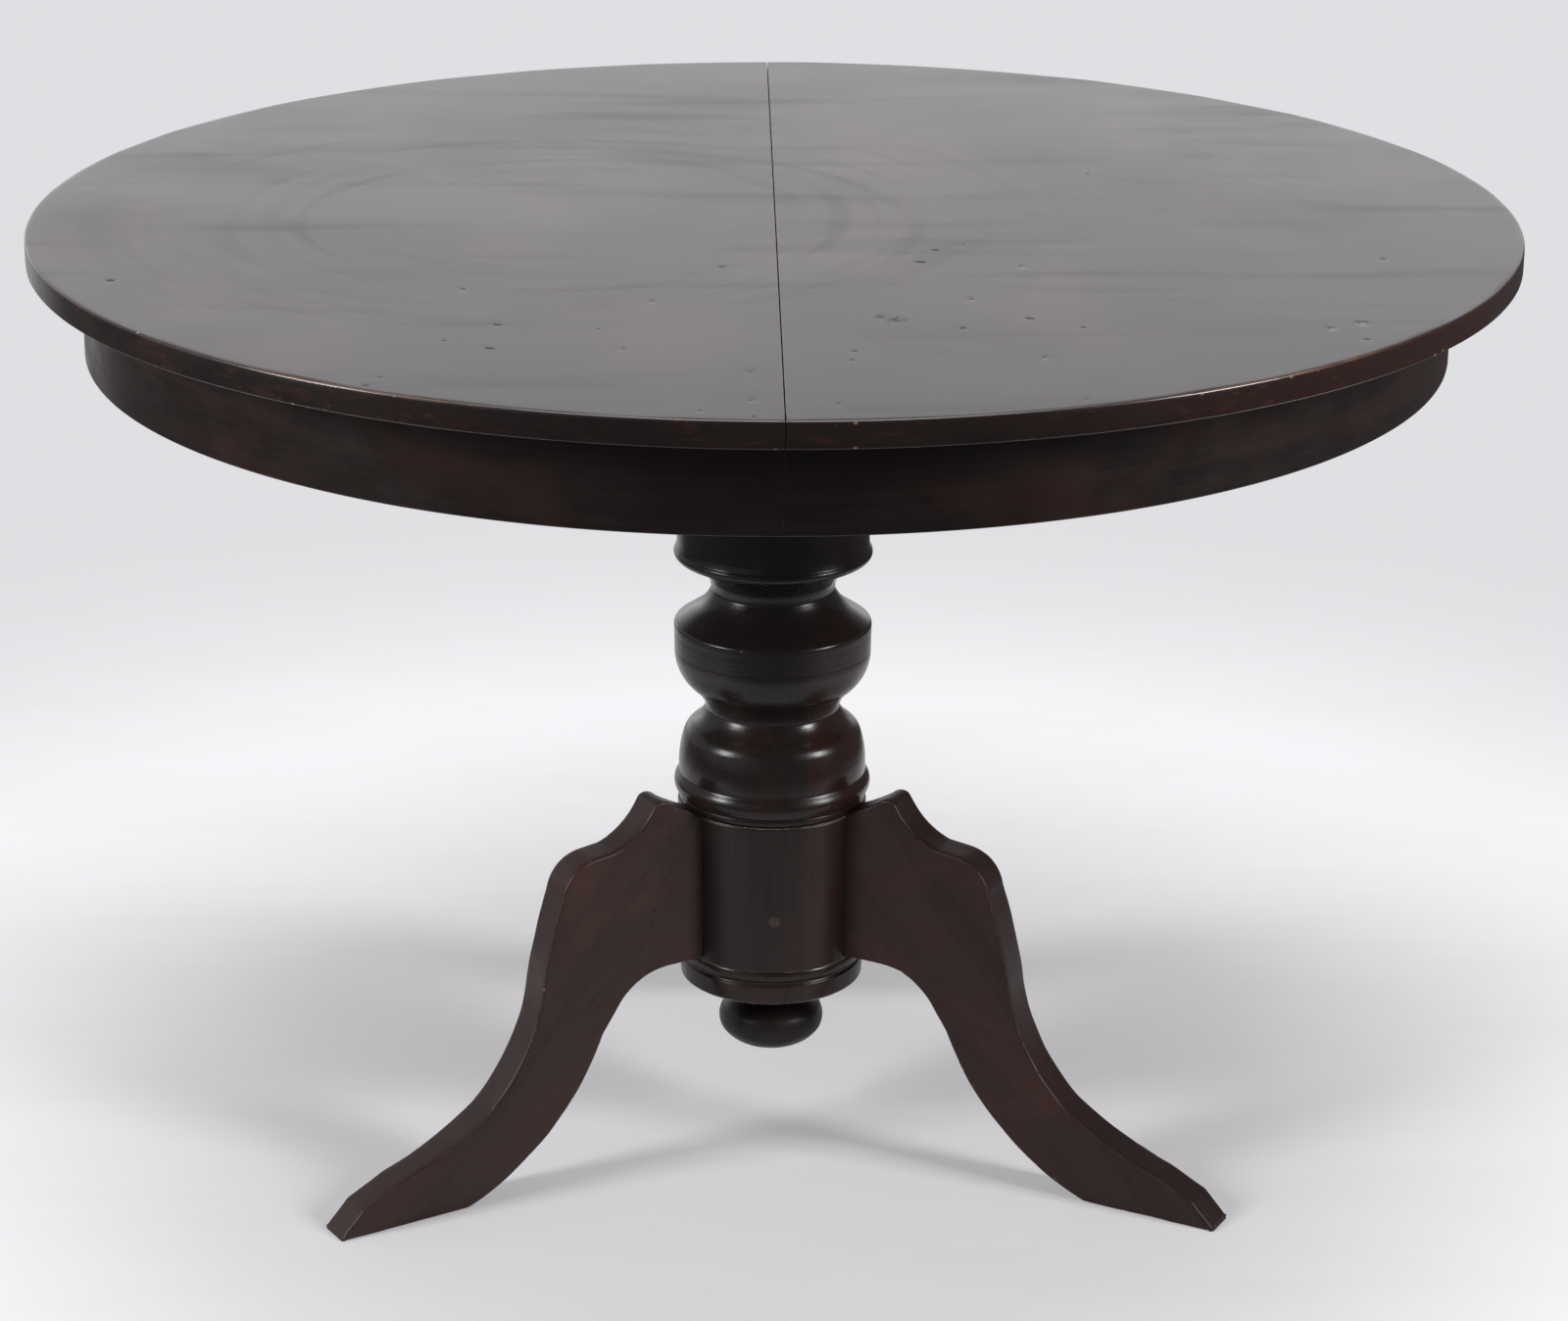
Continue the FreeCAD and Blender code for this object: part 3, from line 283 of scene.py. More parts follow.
def wood(name, dark, mid, warm, worn, gloss, wear=1.0, shine=0.5, relief=0.00010,
         boards=False, speck=0.06):
    """Stained wood: dark and mid along the grain, warm in patches and worn on the arrises."""
    g = Graph(bpy.data.materials.new(name))
    at = g.attribute("grain", "Vector")
    figure = g.noise(at, (2.5, 34, 34), 4, 0.6, 0.6)
    fibre = g.noise(at, (30, 1100, 1100), 3, 0.65)
    pores = g.span(g.noise(at, (90, 2300, 2300), 2, 0.6), 0.60, 0.72)
    patch = g.noise(at, (9, 14, 14), 3, 0.55, 0.4)
    cloud = g.noise(at, (22, 30, 30), 4, 0.6)
    streak = g.noise(at, (12, 300, 300), 3, 0.65)
    tone = g.add(g.mul(figure, 0.45), g.add(g.mul(streak, 0.35), g.mul(fibre, 0.20)))
    colour = g.mix(g.span(tone, 0.36, 0.62), dark, mid)
    colour = g.mix(g.span(patch, 0.50, 0.68, 0.0, 0.8), colour, warm)
    if boards:
        across = g.parts(at)[1]
        redder = g.span(across, 0.0255, 0.0310, 0.0, 0.42)
        colour = g.mix(redder, colour, (0.033, 0.0118, 0.0090))
        for plane, share in ((0.0274, 0.22), (-0.0236, 0.06)):
            away = g.math("ABSOLUTE", g.math("SUBTRACT", across, plane))
            colour = g.mix(g.span(away, 0.00055, 0.0002, 0.0, share), colour, worn)
        # Painted shade: the upper mouldings, which stand in the shade under the top, are painted a
        # greyer, cooler colour
        upper = g.span(g.parts(g.place())[2], 0.36, 0.46, 0.0, 0.7)
        colour = g.mix(upper, colour, (0.0128, 0.0118, 0.0126))
    colour = g.mix(g.mul(pores, 0.2), colour, dark)
    colour = g.mix(g.mul(g.attribute("sawn"), 0.6), colour, dark)
    dirt = g.spots(at, (170, 260, 260), 0.24, speck)
    colour = g.mix(g.mul(dirt, 0.8), colour, (0.006, 0.005, 0.005))
    edge = g.attribute("wear")
    rub = g.add(g.mul(edge, wear), g.mul(g.noise(at, (90, 160, 160), 4, 0.7), 0.9))
    rubbed = g.span(rub, 1.06, 1.50)
    colour = g.mix(g.mul(rubbed, 0.85), colour, worn)
    chips = g.spots(at, (210, 330, 330), 0.28, speck * 0.8)
    colour = g.mix(g.mul(chips, g.span(edge, 0.15, 0.6, 0.0, 0.9)), colour, (0.30, 0.21, 0.15))
    roughness = g.add(g.span(cloud, 0.3, 0.7, gloss - 0.05, gloss + 0.07), g.mul(rubbed, 0.12))
    height = g.math("SUBTRACT", g.mul(fibre, 0.5), g.add(pores, dirt))
    normal = g.bump(cloud, 0.0006, 0.25, g.bump(height, relief, 0.8))
    g.shader(Base_Color=colour, Roughness=roughness, Normal=normal, Specular_IOR_Level=shine)
    return g.owner


def polished_top(name):
    """The top's veneer: a grey-brown sheen with wiping arcs and smudges, and a redder edge band."""
    g = Graph(bpy.data.materials.new(name))
    at = g.attribute("grain", "Vector")
    facing = g.parts(g.place("Normal"))[2]
    upper = g.span(facing, 0.75, 0.97)
    under = g.span(facing, -0.75, -0.97)
    fibre = g.noise(at, (26, 700, 700), 3, 0.65)
    figure = g.noise(at, (1.6, 26, 26), 4, 0.6, 0.8)
    cool = g.noise(at, (6, 2.4, 6), 2, 0.45, 0.3)
    warm = g.noise(g.times(at, (1, 1, -1)), (7, 2.6, 9), 2, 0.45, 0.3)
    tone = g.add(g.mul(figure, 0.6), g.mul(fibre, 0.4))
    face = g.mix(g.span(tone, 0.30, 0.70), (0.0125, 0.0096, 0.0094), (0.0200, 0.0144, 0.0138))
    face = g.mix(g.span(warm, 0.45, 0.72, 0.0, 0.7), face, (0.036, 0.025, 0.0225))
    face = g.mix(g.span(cool, 0.48, 0.75, 0.0, 0.5), face, (0.009, 0.009, 0.011))
    # Wiping marks: noise drawn out along circles round a point left of the middle
    spot = g.parts(at)
    x = g.add(spot[0], 0.16)
    y = g.add(spot[1], 0.02)
    out = g.math("SQRT", g.add(g.mul(x, x), g.mul(y, y)))
    ring = g.join(g.math("DIVIDE", x, out), g.math("DIVIDE", y, out), g.mul(out, 60))
    near = g.mul(g.span(out, 0.42, 0.25), g.span(out, 0.08, 0.20))
    wiped = g.mul(g.span(g.noise(ring, (1.3, 1.3, 1), 1, 0.4), 0.48, 0.78), near)
    smear = g.span(g.noise(at, (4, 30, 1), 1, 0.4, 0.2), 0.54, 0.80, 0.0, 0.7)
    strokes = g.add(g.mul(wiped, 0.6), g.add(smear, g.attribute("smudge")))
    face = g.mix(g.span(strokes, 0.0, 1.6), face, (0.005, 0.0045, 0.005))
    band = g.mix(g.span(tone, 0.36, 0.62), (0.010, 0.0072, 0.0070), (0.020, 0.0115, 0.0106))
    reddish = g.span(g.noise(at, (30, 30, 120), 4, 0.65), 0.55, 0.72, 0.0, 0.7)
    band = g.mix(reddish, band, (0.050, 0.0185, 0.0125))
    bearing = g.math("ARCTAN2", spot[1], spot[0])
    # Painted light: the edge band is painted redder towards the front right, where the right lamp
    # falls on it
    painted_lamp_light = g.span(g.math("ABSOLUTE", g.add(bearing, 0.68)), 0.75, 0.15, 0.0, 0.42)
    band = g.mix(painted_lamp_light, band, (0.040, 0.0120, 0.0080))
    raw = g.mix(g.span(tone, 0.34, 0.64), (0.060, 0.030, 0.019), (0.135, 0.072, 0.046))
    colour = g.mix(upper, band, face)
    colour = g.mix(under, colour, raw)
    edge = g.attribute("wear")
    rub = g.add(edge, g.mul(g.noise(at, (70, 70, 200), 5, 0.7), 0.9))
    # Two stretches of the near arris are worn and flaked, and are also painted paler there as a
    # painted highlight where the arris catches the light
    wear_and_glint = g.math("MAXIMUM", g.span(g.math("ABSOLUTE", g.add(bearing, 2.09)), 0.24, 0.05),
                     g.span(g.math("ABSOLUTE", g.add(bearing, 0.93)), 0.26, 0.05))
    rubbed = g.span(g.add(rub, g.mul(wear_and_glint, 0.35)), 1.34, 1.90)
    colour = g.mix(g.mul(rubbed, 0.8), colour, (0.15, 0.075, 0.048))
    flaked = g.span(g.noise(at, (60, 60, 150), 4, 0.7), 0.56, 0.66)
    colour = g.mix(g.mul(g.mul(flaked, wear_and_glint), g.span(upper, 0.5, 0.0, 0.0, 0.5)),
                   colour, (0.085, 0.030, 0.017))
    chips = g.spots(at, (160, 160, 260), 0.3, 0.05)
    colour = g.mix(g.mul(chips, g.span(edge, 0.1, 0.5, 0.0, 0.9)), colour, (0.42, 0.28, 0.2))
    # Dents are dark, and the same mark paints shade into the pin holes
    dent_and_hole_shade = g.attribute("dent_and_hole_shade")
    colour = g.mix(g.mul(dent_and_hole_shade, 0.95), colour, (0.004, 0.0035, 0.0035))
    gloss = g.span(g.noise(at, (3, 4, 4), 4, 0.6, 0.6), 0.3, 0.7, 0.24, 0.28)
    gloss = g.add(gloss, g.mul(strokes, 0.05))
    gloss = g.add(gloss, g.mul(dent_and_hole_shade, 0.5))
    gloss = g.add(gloss, g.mul(under, 0.3))
    normal = g.bump(g.noise(at, (9, 12, 12), 2, 0.5), 0.0004, 0.15)
    g.shader(Base_Color=colour, Roughness=gloss, Normal=normal, Specular_IOR_Level=0.56)
    return g.owner


def plain_wood(name, along, pale, deep, gloss=0.55):
    """Unpolished wood of the hidden pieces, with its grain along one axis."""
    g = Graph(bpy.data.materials.new(name))
    x, y, z = g.parts(g.place())
    at = g.join(*{"x": (x, y, z), "y": (y, x, z), "z": (z, x, y)}[along])
    figure = g.noise(at, (3, 60, 60), 4, 0.6, 1.0)
    fibre = g.noise(at, (40, 1000, 1000), 3, 0.6)
    pores = g.span(g.noise(at, (120, 1900, 1900), 2, 0.6), 0.6, 0.72)
    tone = g.add(g.mul(figure, 0.6), g.mul(fibre, 0.4))
    colour = g.mix(g.span(tone, 0.35, 0.63), deep, pale)
    colour = g.mix(g.mul(pores, 0.5), colour, deep)
    dust = g.noise(at, (14, 24, 24), 4, 0.65)
    colour = g.mix(g.span(dust, 0.5, 0.75, 0.0, 0.4), colour, (0.05, 0.042, 0.036))
    height = g.math("SUBTRACT", g.mul(fibre, 0.6), pores)
    g.shader(Base_Color=colour, Roughness=g.span(dust, 0.3, 0.7, gloss - 0.06, gloss + 0.1),
             Normal=g.bump(height, 0.00015, 0.8))
    return g.owner


def old_glue(name):
    """Dried hide glue, pale olive with dirt in it."""
    g = Graph(bpy.data.materials.new(name))
    at = g.place()
    dirt = g.noise(at, (260, 260, 260), 4, 0.65)
    colour = g.mix(g.span(dirt, 0.40, 0.62), (0.20, 0.165, 0.105), (0.045, 0.034, 0.026))
    g.shader(Base_Color=colour, Roughness=g.span(dirt, 0.3, 0.7, 0.35, 0.6),
             Normal=g.bump(dirt, 0.0002, 0.6))
    return g.owner


def worn_metal(name, clean, stain, gloss):
    """Dull steel with tarnish in patches and fine scratches."""
    g = Graph(bpy.data.materials.new(name))
    at = g.place()
    patch = g.noise(at, (90, 90, 90), 5, 0.65, 0.6)
    scratch = g.noise(at, (300, 2600, 900), 3, 0.6)
    colour = g.mix(g.span(patch, 0.42, 0.66), clean, stain)
    metal = g.span(patch, 0.45, 0.72, 1.0, 0.55)
    rough = g.add(g.span(patch, 0.4, 0.7, gloss, gloss + 0.25), g.span(scratch, 0.4, 0.7, -0.04, 0.06))
    g.shader(Base_Color=colour, Metallic=metal, Roughness=rough, Normal=g.bump(scratch, 0.00003, 0.6))
    return g.owner


# Meshes
def piece(name, points, faces, body, nodes, material, grain, values=None, sharp=40):
    """One object in the shared frame from points in millimetres, standing for these nodes."""
    mesh = bpy.data.meshes.new(name)
    mesh.from_pydata([Vector(point) * MM for point in points], [], faces)
    data = mesh.attributes.new("grain", "FLOAT_VECTOR", "POINT").data
    for index, point in enumerate(points):
        data[index].vector = Vector(grain(point)) * MM
    for key, numbers in (values or {}).items():
        data = mesh.attributes.new(key, "FLOAT", "POINT").data
        for index, number in enumerate(numbers):
            data[index].value = number
    work = bmesh.new()
    work.from_mesh(mesh)
    bmesh.ops.remove_doubles(work, verts=work.verts, dist=0.00001)
    bmesh.ops.dissolve_degenerate(work, edges=work.edges, dist=0.000001)
    bmesh.ops.recalc_face_normals(work, faces=work.faces)
    work.to_mesh(mesh)
    work.free()
    mesh.shade_smooth()
    mesh.set_sharp_from_angle(angle=math.radians(sharp))
    mesh.materials.append(material)
    item = bpy.data.objects.new(name, mesh)
    bpy.context.scene.collection.objects.link(item)
    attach(item, body)
    if nodes:
        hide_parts(*nodes)
    return item


def through(first, middle, last, step):
    """Points on the circular arc from first through middle to last, without first."""
    (ax, ay), (bx, by), (cx, cy) = first, middle, last
    twice = 2 * (ax * (by - cy) + bx * (cy - ay) + cx * (ay - by))
    if abs(twice) < 1e-6:
        return [last]
    a, b, c = ax * ax + ay * ay, bx * bx + by * by, cx * cx + cy * cy
    ox = (a * (by - cy) + b * (cy - ay) + c * (ay - by)) / twice
    oy = (a * (cx - bx) + b * (ax - cx) + c * (bx - ax)) / twice
    start = math.atan2(ay - oy, ax - ox)
    sweep = (math.atan2(cy - oy, cx - ox) - start) % (2 * math.pi)
    passed = (math.atan2(by - oy, bx - ox) - start) % (2 * math.pi)
    if passed > sweep:
        sweep -= 2 * math.pi
    radius = math.hypot(ax - ox, ay - oy)
    count = max(2, math.ceil(abs(sweep) * radius / step))
    turns = [start + sweep * index / count for index in range(1, count + 1)]
    return [(ox + radius * math.cos(turn), oy + radius * math.sin(turn)) for turn in turns]


def trace(shares, wide, base, high, step):
    """The outline of a share table as points about a step apart."""
    points = []
    for entry in shares:
        spots = [(wide * radius, base + high * height) for radius, height in entry[1:]]
        if entry[0] == "arc":
            points += through(points[-1], *spots, step)
            continue
        if points:
            gap = math.dist(points[-1], spots[0])
            count = max(1, round(gap / step))
            (ax, ay), (bx, by) = points[-1], spots[0]
            near = min(0.5, gap / 4) / gap
            shares_between = sorted({near, 1 - near, *(k / count for k in range(1, count))})
            points += [(ax + (bx - ax) * k, ay + (by - ay) * k) for k in shares_between]
        points.append(spots[0])
    return points


def eased(points, rounds):
    """Points after their corners are rubbed down a little, but for the first and last."""
    for _ in range(rounds):
        middle = [
            tuple(0.25 * before[axis] + 0.5 * point[axis] + 0.25 * after[axis] for axis in (0, 1))
            for before, point, after in zip(points, points[1:], points[2:])
        ]
        points = [points[0], *middle, points[-1]]
    return points


def bands(rows):
    """Faces between closed rows of equally many points."""
    count = len(rows[0])
    faces = []
    for below, above in zip(rows, rows[1:]):
        for index in range(count):
            after = (index + 1) % count
            faces.append((below[index], below[after], above[after], above[index]))
    return faces


def turned(name, profile, nodes, material, seed):
    """A lathe-turned piece round the frame's axis, with faint tool marks and worn shoulders."""
    segments, marks = 144, 0.05
    points, rows, wear = [], [], []
    for index, (radius, height) in enumerate(profile):
        before = profile[max(index - 1, 0)]
        after = profile[min(index + 1, len(profile) - 1)]
        way_in = math.atan2(height - before[1], radius - before[0])
        way_out = math.atan2(after[1] - height, after[0] - radius)
        bend = (way_out - way_in + math.pi) % (2 * math.pi) - math.pi
        wear.append(min(1.0, max(0.0, bend * 2.2)) if 0 < index < len(profile) - 1 else 0.0)
    soft = [max(wear[max(index - 1, 0):index + 2]) for index in range(len(wear))]
    values = []
    for (radius, height), number in zip(profile, soft):
        row = []
        for step in range(segments):
            turn = 2 * math.pi * step / segments
            cos, sin = math.cos(turn), math.sin(turn)
            mark = noise.noise(Vector((height * 0.9, seed, 0.2 * cos)))
            dip = noise.noise(Vector((cos * 2.0, sin * 2.0, height * 0.03 + seed)))
            size = max(0.0, radius + (marks * (mark + dip) - marks if radius > 1 else 0.0))
            row.append(len(points))
            points.append((size * cos, size * sin, height))
            values.append(number)
        rows.append(row)
    return piece(name, points, bands(rows), "pedestal", nodes, material,
                 lambda p: (p[2] + 100 * seed, p[0], p[1]), {"wear": values})


def half_leaf(side, name, nodes, material):
    """A half-round board with worn arrises and small dents, open to its holes along the seam."""
    sign = -1 if side == "left" else 1
    arc_count, seam_count = 300, 60
    over_pins, under_pins = 746.0, 735.0

    def loop(inset, seam_inset, height, drop):
        """The board's outline at one height, set in and nibbled by up to about this drop."""
        radius = TOP_RADIUS - inset
        edge = SEAM + seam_inset
        last = math.acos(edge / radius)
        row = []
        for index in range(arc_count + 1):
            turn = -last + 2 * last * index / arc_count
            bite = noise.noise(Vector((math.cos(turn) * 9 * sign, math.sin(turn) * 9, 3.1)))
            nibble = drop * max(0.0, 0.5 + bite)
            reach = radius - nibble
            x, y = reach * math.cos(turn), reach * math.sin(turn)
            row.append((max(x, edge), y, height - nibble * 0.6))
        far = radius * math.sin(last)
        row += [(edge, far - 2 * far * index / seam_count, height) for index in range(1, seam_count)]
        return [(sign * x, y, z) for x, y, z in row]

    levels = [(6.0, 1.4, TOP_HEIGHT, 0.0), (3.0, 0.7, TOP_HEIGHT, 0.05)]
    for step in range(6):
        turn = math.pi / 2 * step / 5
        inset, fall = 1 - math.sin(turn), 1 - math.cos(turn)
        levels.append((TOP_ARRIS * inset, 0.35 * inset, TOP_HEIGHT - TOP_ARRIS * fall, 0.4))
    for height in (over_pins, under_pins):
        levels.append((0.0, 0.0, height, 0.1))
    for step in range(5):
        turn = math.pi / 2 * step / 4
        inset, rise = 1 - math.cos(turn), 1 - math.sin(turn)
        height = LEAF_UNDERSIDE + TOP_LOWER_ARRIS * rise
        levels.append((TOP_LOWER_ARRIS * inset, 0.3 * inset, height, 0.25))
    edge_wear = [0.0, 0.05, 0.25, 0.8, 1.0, 0.9, 0.5, 0.3, 0.1, 0.1, 0.3, 0.7, 0.8, 0.6, 0.1]
    points, rows, wear, dent_and_hole_shade, smudge = [], [], [], [], []
    for (inset, seam_inset, height, drop), number in zip(levels, edge_wear):
        ring = loop(inset, seam_inset, height, drop)
        rows.append(list(range(len(points), len(points) + len(ring))))
        points += ring
        wear += [number] * len(ring)
        dent_and_hole_shade += [0.0] * len(ring)
        smudge += [0.0] * len(ring)
    faces = bands(rows)

    def drill(spot):
        """A blind hole in the seam face round this place along the seam."""
        clear = 6
        over = next(k for k, level in enumerate(levels) if level[2] == over_pins)
        above, below = rows[over], rows[over + 1]
        near = [k for k in range(arc_count, len(above) - 1) if
                min(points[above[k]][1], points[above[k + 1]][1]) < spot + clear and
                max(points[above[k]][1], points[above[k + 1]][1]) > spot - clear]
        for k in near:
            faces[over * len(above) + k] = None
        run = [*near, near[-1] + 1]
        rim = [above[k] for k in run] + [below[k] for k in reversed(run)]
        flat = [Vector(points[index][1:]) for index in rim]
        rings = []
        for size, depth in ((PIN_HOLE + 0.3, 0.0), (PIN_HOLE, 0.4), (PIN_HOLE, PIN_HOLE_DEPTH),
                            (0.01, PIN_HOLE_DEPTH + 1)):
            rings.append(list(range(len(points), len(points) + PIN_HOLE_SIDES)))
            for step in range(PIN_HOLE_SIDES):
                turn = 2 * math.pi * step / PIN_HOLE_SIDES
                y, z = spot + size * math.cos(turn), PIN_HEIGHT + size * math.sin(turn)
                points.append((sign * (SEAM + depth), y, z))
                wear.append(0.2 if depth == 0 else 0.0)
                # Painted shade: the walls and floor of each pin hole take the dark dent colour
                dent_and_hole_shade.append(0.0 if depth == 0 else 0.7)
                smudge.append(0.0)
        flat += [Vector(points[index][1:]) for index in rings[0]]
        start = len(rim)
        edges = [(start + k, start + (k + 1) % PIN_HOLE_SIDES) for k in range(PIN_HOLE_SIDES)]
        result = delaunay_2d_cdt(flat, edges, [list(range(start))], 1, 1e-5)
        known = [(rim + rings[0])[origins[0]] for origins in result[3]]
        for face in result[2]:
            middle = sum((result[0][index] for index in face), Vector((0, 0))) / 3
            if math.hypot(middle.x - spot, middle.y - PIN_HEIGHT) > PIN_HOLE + 0.2:
                faces.append([known[index] for index in face])
        faces.extend(bands(rings))

    if side == "right":
        for spot in PIN_SPOTS:
            drill(spot)
    faces = [face for face in faces if face]

    def cap(row, height, dents, up):
        """The flat face inside this rim, with its dents and, on the upper face, its smudges."""
        rim = [points[index] for index in row]
        flat = [Vector(point[:2]) for point in rim]
        lifts = [point[2] for point in rim]
        deep = [0.0] * len(rim)
        for x, y, long, wide, lean, tone in dents:
            size = min(long, wide, 1.6)
            across = Vector((math.cos(math.radians(lean)), math.sin(math.radians(lean))))
            beside = Vector((-across.y, across.x))
            for ring, (share, fall, mark) in enumerate(DENT_RINGS):
                for step in range(9):
                    turn = 2 * math.pi * (step + 0.5 * ring) / 9
                    crooked = noise.noise(Vector((x + math.cos(turn), y + math.sin(turn), 0.5)))
                    uneven = share * (1 + 0.3 * crooked)
                    offset = long * math.cos(turn) * across + wide * math.sin(turn) * beside
                    flat.append(Vector((x, y)) + uneven * offset)
                    lifts.append(height - fall * size)
                    deep.append(mark * tone)
        spacing = 11
        lines = int(TOP_RADIUS / spacing)
        for column in range(lines + 1):
            for line in range(-lines, lines + 1):
                x, y = sign * (column + 0.5) * spacing, line * spacing
                clear = all(math.hypot(x - entry[0], y - entry[1]) > entry[2] + 3 for entry in dents)
                if math.hypot(x, y) < TOP_RADIUS - 12 and clear:
                    flat.append(Vector((x, y)))
                    lifts.append(height)
                    deep.append(0.0)
        result = delaunay_2d_cdt(flat, [], [list(range(len(rim)))], 1, 1e-4)
        base = len(points)
        for place, origins in zip(result[0], result[3]):
            lift = lifts[origins[0]] if origins else height
            points.append((place.x, place.y, lift))
            wear.append(0.1 if origins and origins[0] < len(rim) else 0.0)
            dent_and_hole_shade.append(deep[origins[0]] if origins else 0.0)
            stain = 0.0
            for x, y, long, wide, strength in SMUDGES if up else ():
                away = math.hypot((place.x - x) / long, (place.y - y) / wide)
                ragged = 0.5 * noise.noise(Vector((place.x * 0.03, place.y * 0.05, x)))
                stain = max(stain, strength * min(1.0, max(0.0, 1.2 - away + ragged)))
            smudge.append(stain)
        for face in result[2]:
            corners = [base + index for index in face]
            faces.append(corners if up else corners[::-1])

    marks = [(x, y, 1.15 * size, 0.85 * size, 0, min(1.0, 0.22 * size * size)) for x, y, size in DENTS]
    marks += SCRATCHES
    cap(rows[0], TOP_HEIGHT, [entry for entry in marks if entry[0] * sign > 0], True)
    cap(rows[-1], LEAF_UNDERSIDE, [], False)
    return piece(name, points, faces, side + "_leaf", nodes, material, lambda p: p,
                 {"wear": wear, "dent_and_hole_shade": dent_and_hole_shade, "smudge": smudge})


def half_apron(side, name, nodes, material):
    """A bent board under the leaf, its lower arrises rounded."""
    sign = -1 if side == "left" else 1
    shift = -sign * APRON_SHIFT
    section = []
    for step in range(5):
        turn = math.pi / 2 * step / 4
        inset, rise = 1 - math.cos(turn), 1 - math.sin(turn)
        section.append((APRON_OUTER - APRON_ARRIS * inset, APRON_FOOT + APRON_ARRIS * rise, 0.9))
    section.append((APRON_INNER + APRON_ARRIS, APRON_FOOT, 0.7))
    section.append((APRON_INNER, APRON_FOOT + APRON_ARRIS, 0.3))
    section.append((APRON_INNER, LEAF_UNDERSIDE, 0.0))
    for height, number in ((LEAF_UNDERSIDE, 0.1), (725, 0.0), (700, 0.0), (680, 0.0), (668, 0.2)):
        section.append((APRON_OUTER, height, number))
    count = 240
    points, rows, wear = [], [], []
    for index in range(count + 1):
        row = []
        for radius, height, number in section:
            last = math.acos((SEAM - shift) / radius)
            turn = -last + 2 * last * index / count
            place = Vector((math.cos(turn) * 5 * sign, math.sin(turn) * 5, height * 0.01))
            reach = radius + (0.12 * noise.noise(place) - 0.06)
            row.append(len(points))
            x, y = reach * math.cos(turn) + shift, reach * math.sin(turn)
            points.append((sign * max(x, SEAM), y, height))
            wear.append(number)
        rows.append(row)
    faces = bands(rows)
    faces.append(rows[0][::-1])
    faces.append(rows[-1])

    def grain(p):
        return (APRON_OUTER * math.atan2(p[1], p[0]), math.hypot(p[0], p[1]), p[2])

    return piece(name, points, faces, side + "_leaf", nodes, material, grain,
                 {"wear": wear})


